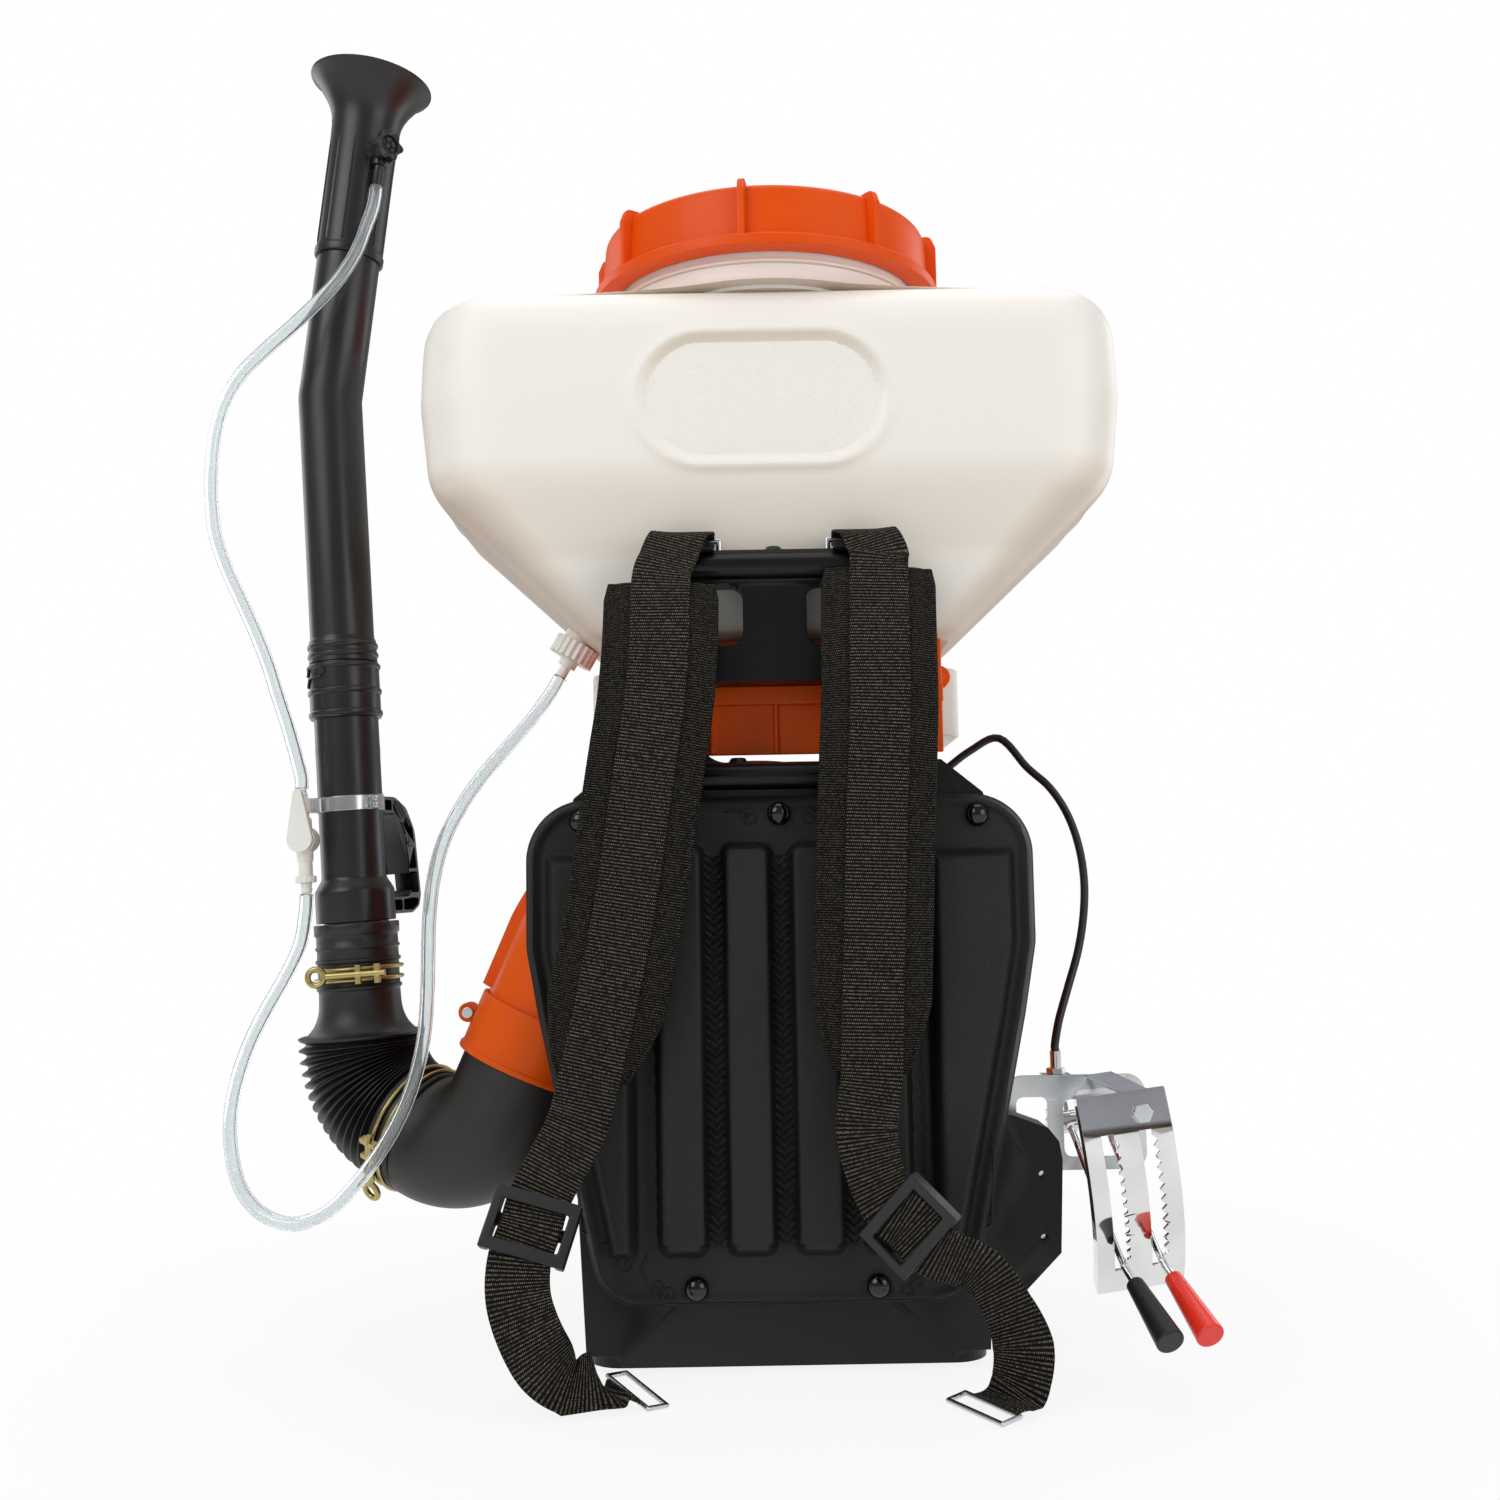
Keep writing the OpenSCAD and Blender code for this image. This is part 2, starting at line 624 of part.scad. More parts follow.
// The lower tube ends inside the coupler, and the upper tube turns in it
tube_end = coupler_at + coupler_len / 2 - 4;
upper_from = coupler_at - coupler_len / 2 + 3;
plug_r = tube_in - run_gap;
nozzle_from = 113;
nozzle_r = tube_r + 2.5;
flare_h = 34;
socket_r = cuff_r - 0.5;
socket_h = 24;
bayonet_turn = 30;
pin_r = 2.5;
// Half the angle that the pin takes up in its slot, with a degree of play
pin_angle = asin(pin_r / tube_in) + 1;

module handle_tube() color("#161616") at_wand() difference() {
    union() {
        translate([0, 0, 32]) cylinder(h = tube_end - 32, r = tube_r);
        // socket step above the cuff
        translate([0, 0, cuff_top + 0.5]) {
            cylinder(h = socket_h, r = socket_r);
            translate([0, 0, socket_h]) cylinder(h = 9, r1 = socket_r, r2 = tube_r);
        }
        // female half of the bayonet, with its rings
        translate([0, 0, coupler_at - coupler_len / 2]) {
            cylinder(h = coupler_len - 4, r = coupler_r - 1);
            for (z = [0, 18, 38]) translate([0, 0, z]) cylinder(h = 4, r = coupler_r);
        }
    }
    translate([0, 0, 31]) cylinder(h = upper_from - 31, r = tube_in);
    translate([0, 0, upper_from - 1]) cylinder(h = tube_end, r = tube_in);
    // slot for the bayonet pin, as wide as the tube's turn to lock
    translate([0, 0, tube_end - 16])
        rotate_extrude(angle = -bayonet_turn - 2 * pin_angle, start = 270 + pin_angle)
            translate([tube_in - 1, 0]) square([8, 6]);
}

wand_bore_r = plug_r - tube_wall;
miter = tube_r * tan(wand_bend / 2);
module wand_tube() color("#131313") difference() {
    union() {
        at_wand() {
            translate([0, 0, upper_from + 1]) cylinder(h = tube_end - upper_from, r = plug_r);
            translate([0, 0, tube_end + seat_gap]) cylinder(h = bend_at - tube_end - seat_gap, r = tube_r);
            translate([0, 0, bend_at]) sphere(r = tube_r + 0.3);
            for (z = [5, 12]) translate([0, 0, tube_end + z]) cylinder(h = 3, r = coupler_r - 1);
            // pin in the bayonet's slot
            translate([0, -tube_r + 4, tube_end - 13]) rotate([90, 0, 0]) cylinder(h = 7, r = pin_r);
        }
        at_upper() cylinder(h = nozzle_from + 12, r = tube_r);
    }
    at_wand() translate([0, 0, upper_from - 1])
        cylinder(h = bend_at - upper_from + 1 + miter, r = wand_bore_r);
    at_upper() translate([0, 0, -miter]) cylinder(h = nozzle_from + 30, r = wand_bore_r);
}

module nozzle() color("#101010") at_upper() {
    difference() {
        union() {
            translate([0, 0, nozzle_from]) rotate_extrude() polygon([
                [0, 0], [nozzle_r, 0], [nozzle_r - 1, 4], [nozzle_r - 0.5, upper_len - nozzle_from - flare_h],
                [rim_r, upper_len - nozzle_from - 2], [rim_r, upper_len - nozzle_from],
                [0, upper_len - nozzle_from]
            ]);
            // boss of the dosing valve
            rotate(valve_turn) translate([0, -nozzle_r - 9, valve_at]) rotate([-90, 0, 0])
                cylinder(h = 12, r = 8);
            // hose barb below it
            rotate(valve_turn) translate([0, -nozzle_r - 5, valve_at - 30]) cylinder(h = 30, r = 4);
        }
        // throat
        translate([0, 0, nozzle_from + 13]) cylinder(h = upper_len, r = throat_r);
        translate([0, 0, nozzle_from - 1]) cylinder(h = 14, r = tube_r + hole_gap);
        translate([0, 0, upper_len - flare_h + 2]) cylinder(h = flare_h, r1 = throat_r, r2 = rim_r - 1.5);
        // seat of the knob's stem
        rotate(valve_turn) translate([0, -nozzle_r - 10, valve_at]) rotate([-90, 0, 0])
            cylinder(h = 10, r = 3 + run_gap);
    }
}
valve_turn = 42;
valve_at = 196;

module at_valve() {
    at_upper() rotate(valve_turn) translate([0, -nozzle_r - 9 - seat_gap, valve_at])
        rotate([90, 0, 0]) children();
}

module dosing_knob() color("#0c0c0c") at_valve() {
    difference() {
        linear_extrude(10) {
            circle(9.5);
            for (a = [10 : 60 : 310]) rotate(a) translate([9, 0]) circle(3.4);
        }
        translate([0, 0, 5]) cylinder(h = 7, r = 4);
    }
    translate([0, 0, -9]) cylinder(h = 11, r = 3);
}

// ---- handle, band and tap on the wand ----
grip_turn = 66.5;
grip_z0 = 93;
grip_z1 = 184;
grip_reach = 70;
grip_t = 22;

module wand_handle() color("#121212") at_wand() rotate(grip_turn) {
    difference() {
        translate([0, grip_t / 2, 0]) rotate([90, 0, 0]) linear_extrude(grip_t) difference() {
            polygon([[0, grip_z0], [grip_reach - 12, grip_z0], [grip_reach - 3, grip_z0 + 5],
                     [grip_reach, grip_z0 + 14], [grip_reach - 4, grip_z1 - 26],
                     [grip_reach - 14, grip_z1 - 8], [grip_reach - 28, grip_z1], [0, grip_z1]]);
            // finger gap
            polygon([[0, grip_z0 + 13], [grip_reach - 17, grip_z0 + 13], [grip_reach - 13, grip_z0 + 18],
                     [grip_reach - 17, grip_z1 - 27], [grip_reach - 30, grip_z1 - 13], [0, grip_z1 - 13]]);
        }
        cylinder(h = 400, r = tube_r + 1.5 + hole_gap);
        cylinder(h = cuff_top + 0.6 + socket_h, r = socket_r + hole_gap);
        translate([0, 0, cuff_top + 0.5 + socket_h])
            cylinder(h = 9.2, r1 = socket_r + 0.15, r2 = tube_r + 0.15);
    }
}

band_at = 172;
band_w = 11;

module handle_band() color("#c8ccd0") at_wand() translate([0, 0, band_at]) {
    difference() {
        union() {
            cylinder(h = band_w, r = tube_r + 1.4);
            // ears with their two screws, by the grip
            rotate(grip_turn - 100) translate([tube_r + 0.6, -3, 0]) cube([8.4, 6, band_w]);
            // arm that carries the tap
            rotate(tap_angle) translate([tube_r + 0.6, -3, 0]) cube([tap_reach - tube_r - 6.8, 6, band_w]);
        }
        translate([0, 0, -1]) cylinder(h = band_w + 2, r = tube_r + 0.05);
    }
    for (z = [3, band_w - 3]) rotate(grip_turn - 100) translate([tube_r + 5, -5.5, z])
        rotate([-90, 0, 0]) cylinder(h = 4, r = 2);
}
tap_angle = 219;
tap_reach = 38.5;
tap_top = 190;
tap_bottom = 112;
tap_turn_at = 152;

module at_tap() {
    at_wand() rotate(tap_angle) translate([tap_reach, 0, 0]) rotate(-tap_angle) children();
}

module tap_body() color("#f0efe9") at_tap() difference() {
    union() {
        translate([0, 0, tap_bottom]) cylinder(h = tap_top - tap_bottom, r = 4);
        translate([0, 0, tap_bottom + 8]) cylinder(h = 5, r = 7.5);
        translate([0, 0, tap_turn_at - 16]) cylinder(h = 32, r = 6);
        translate([0, 8, tap_turn_at]) rotate([90, 0, 0]) cylinder(h = 17, r = 10);
        translate([0, 0, band_at]) cylinder(h = band_w, r = 6);
    }
    translate([0, -10, tap_turn_at]) rotate([-90, 0, 0]) cylinder(h = 12, r = 4 + run_gap);
}

module tap_lever() color("#f4f3ee") at_tap() translate([0, -9 - seat_gap, tap_turn_at]) rotate([90, 0, 0]) {
    linear_extrude(5) {
        circle(9.5);
        polygon([[-9.3, 2], [9.3, 2], [3.5, 34], [-3.5, 34]]);
        translate([0, 34]) circle(3.5);
    }
    translate([0, 0, -10]) cylinder(h = 10.5, r = 4);
}

// ---- hoses ----
// Routes of the clear hoses, from the fitting each leaves to the fitting it enters
hose_upper_route = [
    [-301, -41.2, 863.5], [-303, -42, 848], [-308, -44, 831], [-315, -48, 808],
    [-327, -53, 785], [-342, -58, 765], [-360, -62, 745], [-379, -65, 726], [-397, -67, 706], [-409, -68, 683], [-415, -68, 659],
    [-417, -68, 634], [-417, -67, 609], [-414, -66, 584], [-406, -65, 560], [-396, -63, 537],
    [-386, -61, 514], [-377, -58, 490], [-370, -55, 466], [-363, -50, 441], [-358, -45, 419],
    [-355.2, -42, 405], [-354.8, -42, 396]
];
hose_lower_route = [
    [-350.4, -42, 317], [-351, -43, 302], [-354, -46, 280], [-363, -52, 257], [-374, -58, 235],
    [-384, -64, 212], [-391, -70, 187], [-394, -76, 161], [-391, -82, 135], [-382, -88, 111],
    [-365, -93, 94], [-341, -98, 88], [-317, -101, 97], [-297, -104, 116], [-280, -106, 138],
    [-266, -107, 162], [-256, -107, 188], [-250, -106, 215], [-248, -104, 243], [-248, -101, 271],
    [-248, -97, 299], [-246, -91, 327], [-240, -84, 354], [-229, -75, 379], [-215, -65, 402],
    [-198, -55, 424], [-181, -46, 446], [-168, -41, 465], [-161, -40, 477]
];

module hose_upper() color("#dfe3e4") cord(hose_upper_route, hose_d, 8);
module hose_lower() color("#dfe3e4") cord(hose_lower_route, hose_d, 8);

// ---- impeller and engine ----
impeller_half = 23;
shaft_front = fan_y - impeller_half - 6;
engine_y = fan_back + 2;
crankcase_len = 78;
crankcase_back = engine_y + crankcase_len;
crankcase_r = 50;
deck_z = fan_z + 50;
cylinder_y = 26;
shaft_back = crankcase_back + 44;

module on_shaft(y) {
    translate([0, y, fan_z]) rotate([-90, 0, 0]) children();
}

module impeller() color("#d9d9d4") on_shaft(fan_y - impeller_half) difference() {
    union() {
        cylinder(h = 3, r = impeller_r);
        cylinder(h = 30, r = 18);
        for (i = [0 : blade_count - 1]) rotate(i * 360 / blade_count)
            translate([impeller_r - 42, 0, 0]) rotate(28) translate([0, -1, 2])
                cube([44, 2, 2 * impeller_half - 4]);
        translate([0, 0, 2 * impeller_half - 3]) pipe(impeller_r, impeller_r - 30, 3);
    }
    translate([0, 0, -1]) cylinder(h = 40, r = shaft_r);
    // trims the blade tips to the rim
    pipe(impeller_r + 20, impeller_r, 2 * impeller_half);
}

module crankshaft() color("#a9adb1") {
    on_shaft(shaft_front) cylinder(h = shaft_back - shaft_front, r = shaft_r);
    on_shaft(shaft_front) cylinder(h = 5.5, r = 14, $fn = 6);
}

module flywheel() color("#8f9296") on_shaft(crankcase_back + 12) difference() {
    union() {
        cylinder(h = 10, r = 58);
        for (i = [0 : 11]) rotate(i * 30) translate([34, -1.5, 9]) cube([22, 3, 10]);
    }
    translate([0, 0, -1]) cylinder(h = 30, r = shaft_r);
}

module crankcase() color("#9b9ea1") difference() {
    union() {
        on_shaft(engine_y) cylinder(h = 14, r = 28);
        on_shaft(engine_y + 12) cylinder(h = crankcase_len - 12, r = crankcase_r);
        translate([-38, cylinder_y - 26, fan_z]) cube([76, 52, deck_z - fan_z]);
        for (a = [0 : 60 : 300]) on_shaft(engine_y + 12) rotate(a) translate([crankcase_r - 2, 0, 0])
            cylinder(h = crankcase_len - 12, r = 6);
    }
    on_shaft(engine_y - 1) cylinder(h = crankcase_len + 2, r = shaft_r + run_gap);
}

fin_count = 9;
fin_pitch = 9;
fin_w = 84;
head_z = deck_z + fin_count * fin_pitch + 6;

module engine_cylinder() color("#aeb1b3") translate([0, cylinder_y, deck_z]) difference() {
    union() {
        cylinder(h = head_z - deck_z, r = 29);
        for (i = [0 : fin_count - 1]) translate([0, 0, 5 + i * fin_pitch])
            linear_extrude(2.6) round_rect(fin_w - (i % 2) * 3, 60, 14);
        translate([0, 0, 0]) linear_extrude(4) round_rect(70, 50, 8);
    }
    translate([0, 0, head_z - deck_z - 12]) cylinder(h = 13, r = 5 + hole_gap);
}

module spark_plug() color("#e8e4da") translate([0, cylinder_y, head_z]) {
    translate([0, 0, -11]) cylinder(h = 12, r = 5);
    cylinder(h = 8, r = 10, $fn = 6);
    translate([0, 0, 7]) cylinder(h = 12, r = 5.5);
    translate([0, 0, 16]) cylinder(h = 22, r = 9);
}

muffler_x = fin_w / 2 + 6;
module muffler() color("#6d6a66") {
    translate([muffler_x + 32, cylinder_y, 278]) linear_extrude(64) round_rect(64, 70, 12);
    translate([fin_w / 2 + 0.2, cylinder_y, 300]) rotate([0, 90, 0]) cylinder(h = 7, r = 15);
    translate([muffler_x + 40, cylinder_y + 34, 322]) rotate([-90, 0, 0]) pipe(8, 6, 20);
}

module muffler_guard() color("#1d1d1d") difference() {
    union() {
        translate([muffler_x + 64 + 5, cylinder_y - 40, 274]) cube([1.6, 80, 72]);
        translate([muffler_x - 4, cylinder_y - 40, 346 - 1.6]) cube([74.6, 80, 1.6]);
        for (y = [-20, 20]) translate([muffler_x + 64, cylinder_y + y, 300]) rotate([0, 90, 0])
            cylinder(h = 6, r = 4);
    }
    for (i = [0 : 5], z = [0, 1]) translate([muffler_x + 60, cylinder_y - 33 + i * 12, 282 + z * 34])
        cube([20, 6, 26]);
    for (i = [0 : 4]) translate([muffler_x + 4 + i * 12, cylinder_y - 30, 340]) cube([6, 60, 10]);
}

carb_x = -fin_w / 2 - 8;
carb_z = 306;
module carburettor() color("#a5a8aa") difference() {
    union() {
        translate([carb_x - 44, cylinder_y - 20, carb_z - 20]) cube([44, 40, 40]);
        translate([carb_x - 1, cylinder_y, carb_z]) rotate([0, 90, 0]) cylinder(h = 8.8, r = 16);
        translate([carb_x - 22, cylinder_y, carb_z - 40]) cylinder(h = 21, r = 17);
        translate([carb_x - 22, cylinder_y, carb_z + 19]) cylinder(h = 12, r = 10);
    }
    translate([carb_x - 50, cylinder_y, carb_z]) rotate([0, 90, 0]) cylinder(h = 60, r = 10);
    translate([carb_x - 38, cylinder_y - 14, carb_z + 12]) cylinder(h = 20, r = 3 + run_gap);
}

module choke_lever() color("#141414") translate([carb_x - 38, cylinder_y - 14, carb_z + 20 + seat_gap]) {
    translate([0, 0, -8]) cylinder(h = 9, r = 3);
    linear_extrude(3) {
        circle(6);
        translate([-3, -22]) square([6, 22]);
        translate([0, -22]) circle(4.5);
    }
}

module air_filter_cover() color("#171717") difference() {
    translate([carb_x - 44 - 22 - 0.2, cylinder_y, carb_z - 40]) linear_extrude(80) round_rect(44, 74, 12);
    for (i = [0 : 5]) translate([carb_x - 44 - 50, cylinder_y - 26, carb_z - 30 + i * 11]) cube([10, 52, 5]);
    translate([carb_x - 62, cylinder_y, carb_z]) rotate([0, 90, 0]) cylinder(h = 20, r = 14);
}

recoil_r = 82;
recoil_len = 52;
handle_xz = [44, 48];
module recoil_housing() color("#f26a16") difference() {
    on_shaft(crankcase_back) difference() {
        cylinder(h = recoil_len, r = recoil_r);
        translate([0, 0, 4]) cylinder(h = recoil_len - 8, r = recoil_r - 3);
        translate([0, 0, -1]) cylinder(h = 6, r = 20);
        for (a = [0 : 30 : 330]) rotate(a) translate([30, -4, recoil_len - 8]) cube([40, 8, 12]);
        for (a = [15 : 30 : 345]) rotate(a) translate([recoil_r - 8, -4, 14]) cube([14, 8, 26]);
    }
    translate([handle_xz[0], crankcase_back + recoil_len - 10, fan_z + handle_xz[1]])
        rotate([-90, 0, 0]) cylinder(h = 12, r = 6);
}

module starter_handle() color("#151515")
    translate([handle_xz[0], crankcase_back + recoil_len + seat_gap, fan_z + handle_xz[1]]) {
        rotate([-90, 0, 0]) cylinder(h = 14, r1 = 8, r2 = 7);
        translate([-30, 20, 0]) rotate([0, 90, 0]) cylinder(h = 60, r = 8);
        for (m = [-1, 1]) translate([m * 30, 20, 0]) sphere(r = 8);
    }

// ---- tanks ----
seat_y0 = plate_back + 1;
seat_y1 = 56;
seat_half = foot_w / 2 - 7;
seat_z0 = 409;
fuel_z0 = 431;
fuel_y = [-6, 126];
module tank_seat() color("#ee6514") {
    // tray under the tank
    translate([-seat_half, seat_y0 + 6, tank_z0 - 6]) cube([2 * seat_half, seat_y1 - seat_y0 - 6, 6]);
    // front panel with its ledge and ribs
    translate([-seat_half, seat_y0 + 6, seat_z0]) cube([2 * seat_half, 4, tank_z0 - seat_z0]);
    translate([-seat_half, seat_y0, 444]) cube([2 * seat_half, 7, 13]);
    for (x = [-90, -45, 0, 45, 90]) translate([x - 1.5, seat_y0 + 2, seat_z0]) cube([3, 5, 36]);
    // side cheeks, as far back as the fuel tank
    for (x = [-1, 1]) translate([x * (seat_half - 2) - 2, seat_y0 + 6, tank_z0 - 30])
        cube([4, fuel_y[0] - seat_gap - seat_y0 - 6, 30]);
    // feet on the frame's back plate
    for (x = [-72, 72]) translate([x, plate_back, 470]) rotate([-90, 0, 0]) cylinder(h = 8, r = 10);
    // lug with a bolt on the right side
    translate([seat_half + 8, -27, tank_z0 - 16]) rotate([-90, 0, 0]) cylinder(h = 12, r = 9);
    translate([seat_half + 8, -30, tank_z0 - 16]) rotate([-90, 0, 0]) cylinder(h = 4, r = 4);
}

// Levels of the tank: height, half width, front and back depth, corner radius.
// The lip is the level at which the tank clears the top of the frame's back plate.
tank_front = plate_front + 14;
tank_back = tank_front + tank_d;
tank_h = tank_z1 - tank_z0;
tank_half = tank_w / 2;
foot_half = foot_w / 2;
slope_h = 110;
lip_h = frame_top + 3 - tank_z0;
lip_share = (lip_h - 5) / (slope_h - 5);
function between(a, b, t) = a + (b - a) * t;
tank_levels = [
    [0, foot_half, tank_front + 23, 44, 20],
    [5, foot_half + 9, tank_front + 16, 52, 26],
    [lip_h, between(foot_half + 9, tank_half - 14, lip_share), plate_back + 2 * seat_gap,
     between(52, tank_back - 10, lip_share), 37],
    [slope_h, tank_half - 14, tank_front + 2, tank_back - 10, 46],
    [slope_h + 14, tank_half - 7, tank_front, tank_back - 4, 50],
    [tank_h - 77, tank_half, tank_front, tank_back, 54],
    [tank_h - 31, tank_half - 2, tank_front + 1, tank_back - 1, 54],
    [tank_h - 13, tank_half - 8, tank_front + 7, tank_back - 7, 50],
    [tank_h - 3, tank_half - 18, tank_front + 17, tank_back - 17, 44],
    [tank_h, tank_half - 28, tank_front + 27, tank_back - 27, 38]
];
function tank_ring(e, cut) = [
    for (q = [[1, 1], [-1, 1], [-1, -1], [1, -1]], k = [0 : 5])
        let (
            a = k * 18 + (q[0] > 0 ? (q[1] > 0 ? 0 : 270) : (q[1] > 0 ? 90 : 180)),
            w = e[1] - cut,
            y0 = e[2] + cut,
            y1 = e[3] - cut,
            r = e[4] - cut,
            x = q[0] * (w - r) + r * cos(a),
            y = (q[1] > 0 ? y1 - r : y0 + r) + r * sin(a)
        ) [x, y, tank_z0 + e[0]]
];
function lifted(p, dz) = [for (q = p) q + [0, 0, dz]];

nut_dir = [-0.5, 0, -0.866];
nut_at = [-foot_half - 21, -40, tank_z0 + 13];
module along_nut() {
    translate(nut_at) rotate([0, 210, 0]) children();
}

module chemical_tank() color("#f4f3ef") {
    last = len(tank_levels) - 1;
    difference() {
        union() {
            loft([for (e = tank_levels) tank_ring(e, 0)]);
            translate([0, 0, tank_z1 - 8]) cylinder(h = neck_h + 8, r = neck_r);
            along_nut() translate([0, 0, -22]) cylinder(h = 28, r = 13);
        }
        loft([for (i = [0 : last]) lifted(tank_ring(tank_levels[i], tank_wall),
            i == 0 ? tank_wall : i == last ? -tank_wall : 0)]);
        translate([0, 0, tank_z1 - 30]) cylinder(h = neck_h + 40, r = neck_r - 4);
        along_nut() translate([0, 0, -30]) cylinder(h = 50, r = 6);
        // shallow recess in the front
        translate([0, tank_front + 2, tank_z0 + 173]) rotate([90, 0, 0]) linear_extrude(6)
            round_rect(176, 92, 45.9);
    }
}

lid_z0 = tank_z1 + neck_h - 26;
gasket_t = 3;
lid_seat = tank_z1 + neck_h + gasket_t;
lid_top = lid_seat + 20;

module tank_gasket() color("#33332f") translate([0, 0, tank_z1 + neck_h])
    pipe(neck_r - 0.5, neck_r - 8, gasket_t);

module tank_lid() color("#f0651a") {
    rotate_extrude($fn = 96) polygon([
        [neck_r + 1, lid_z0], [lid_r, lid_z0], [lid_r, lid_z0 + 7], [lid_r - 2, lid_z0 + 9],
        [lid_r - 7, lid_z0 + 10], [lid_r - 9, lid_top - 6], [lid_r - 11, lid_top - 2], [lid_r - 15, lid_top],
        [0, lid_top], [0, lid_top - 4], [neck_r - 14, lid_top - 4], [neck_r - 14, lid_seat],
        [neck_r + 1, lid_seat]
    ]);
    for (i = [0 : lid_ribs - 1]) rotate(37 + i * 360 / lid_ribs)
        translate([lid_r - 14, -3, lid_z0 + 5]) cube([14.5, 6, lid_top - lid_z0 - 3]);
}

module outlet_spigot() color("#f3f2ee") along_nut() difference() {
    union() {
        translate([0, 0, 6]) cylinder(h = 4, r = 12.5);
        translate([0, 0, 9]) cylinder(h = 21, r = 4);
        translate([0, 0, 9]) cylinder(h = 12, r = 7);
    }
    translate([0, 0, 5]) cylinder(h = 30, r = 2.5);
}

module outlet_nut() color("#f6f5f2") along_nut() difference() {
    union() {
        translate([0, 0, 1]) cylinder(h = 14, r = 16);
        for (a = [0 : 18 : 342]) rotate(a) translate([16, 0, 1]) cylinder(h = 14, r = 1.4, $fn = 16);
    }
    translate([0, 0, 0]) cylinder(h = 10 + run_gap, r = 13 + hole_gap);
    cylinder(h = 20, r = 7 + hole_gap);
}

cap_at = [92, 96];
module fuel_tank() color("#e9e7e0") difference() {
    union() {
        translate([2, (fuel_y[0] + fuel_y[1]) / 2, fuel_z0]) linear_extrude(tank_z0 - 6 - fuel_z0)
            round_rect(286, fuel_y[1] - fuel_y[0], 18);
        translate([cap_at[0], cap_at[1], tank_z0 - 7]) cylinder(h = 10, r = 17);
    }
    translate([2, (fuel_y[0] + fuel_y[1]) / 2, fuel_z0 + 3]) linear_extrude(tank_z0 - 12 - fuel_z0)
        round_rect(280, fuel_y[1] - fuel_y[0] - 6, 15);
    translate([cap_at[0], cap_at[1], tank_z0 - 16]) cylinder(h = 30, r = 14);
}

module fuel_cap() color("#191919") translate([cap_at[0], cap_at[1], tank_z0 - 5]) difference() {
    union() {
        cylinder(h = 20, r = 20.5);
        for (a = [0 : 30 : 330]) rotate(a) translate([20, 0, 2]) cylinder(h = 16, r = 2.2, $fn = 16);
    }
    translate([0, 0, -1]) cylinder(h = 9 + seat_gap, r = 17 + run_gap);
}

// ---- straps ----
bow_y = plate_front + plate_t / 2;
bow_z = frame_top + 9;
module strap_bows() color("#c9ccd0") for (m = [-1, 1]) {
    for (x = bow_leg_x) translate([m * x, bow_y, frame_top - 13])
        cylinder(h = bow_z - frame_top + 13, r = bow_wire / 2);
    translate([m * bow_leg_x[0], bow_y, bow_z]) rotate([0, m * 90, 0])
        cylinder(h = bow_leg_x[1] - bow_leg_x[0], r = bow_wire / 2);
    for (x = bow_leg_x) translate([m * x, bow_y, bow_z]) sphere(r = bow_wire / 2);
}

// Loop of webbing round the bow at x, from behind and over to the front
loop_r = bow_wire / 2 + webbing_t / 2 + 0.6;
function loop_points(x) = concat(
    [[x, bow_y - 20, bow_z - 11], [x, bow_y - 9, bow_z - loop_r]],
    [for (a = [270 : 30 : 450]) [x, bow_y + loop_r * cos(a), bow_z + loop_r * sin(a)]],
    [[x, bow_y - 9, bow_z + loop_r], [x + 5 * sign(x), bow_y - 21, bow_z - 1],
     [x + 11 * sign(x), bow_y - 29, bow_z - 16]]
);
left_webbing = [
    [-77, -170, 524], [-78, -183, 480], [-81, -191, 440], [-86, -195, 406], [-91, -196, 373],
    [-101, -196, 308], [-114, -195, 244], [-126, -192, 194], [-135, -193, 163], [-154.8, -206, 125.6],
    [-161, -214, 106], [-167.2, -222, 86.4], [-166, -228, 62], [-154, -231, 34], [-138, -228, 14],
    [-120, -218, 3], [-104, -206, 2]
];
right_webbing = [
    [71, -167, 533], [69, -183, 480], [68, -191, 440], [66, -195, 406], [64, -196, 373],
    [61, -196, 308], [58, -195, 244], [56, -192, 194], [52, -194, 155], [61, -207, 118],
    [76, -213, 103], [91, -219, 88], [118, -220, 76], [134, -223, 55], [142, -227, 33],
    [140, -230, 14], [134, -232, 4], [122, -240, 2]
];
across = [1, 0, 0];
left_sides = [for (i = [0 : len(left_webbing) - 1])
    i < 12 ? across : i < 14 ? [0.9, 0.2, 0.1] : [0.6, 0.75, 0]];
right_sides = [for (i = [0 : len(right_webbing) - 1])
    i < 8 ? across : i == 8 ? [0.9, -0.2, 0.2] : i < 12 ? [0.6, -0.4, 0.6]
    : i == 12 ? [0.3, -0.5, 0.7] : i == 13 ? [0.6, -0.6, 0.4]
    : i == 14 ? [0.85, -0.45, 0.1] : [0.8, -0.6, 0]];

module webbing(points, sides, x) {
    loop = loop_points(x);
    strip(concat(loop, points), concat([for (p = loop) across], sides), webbing_w, webbing_t);
}
module webbing_left() color("#191919") webbing(left_webbing, left_sides, -61);
module webbing_right() color("#191919") webbing(right_webbing, right_sides, 61);

// Padded part behind the webbing: its first eight points, set back by half of both
function set_back(p, d) = [for (i = [0 : 7])
    p[i] - d * cross(tangent(p, i), off_line(across, tangent(p, i)))];
module shoulder_pad(points) {
    back = set_back(points, (shoulder_t + webbing_t) / 2 + seat_gap);
    strip(back, [for (p = back) across], shoulder_w, shoulder_t);
}
module shoulder_pad_left() color("#202020") shoulder_pad(left_webbing);
module shoulder_pad_right() color("#202020") shoulder_pad(right_webbing);

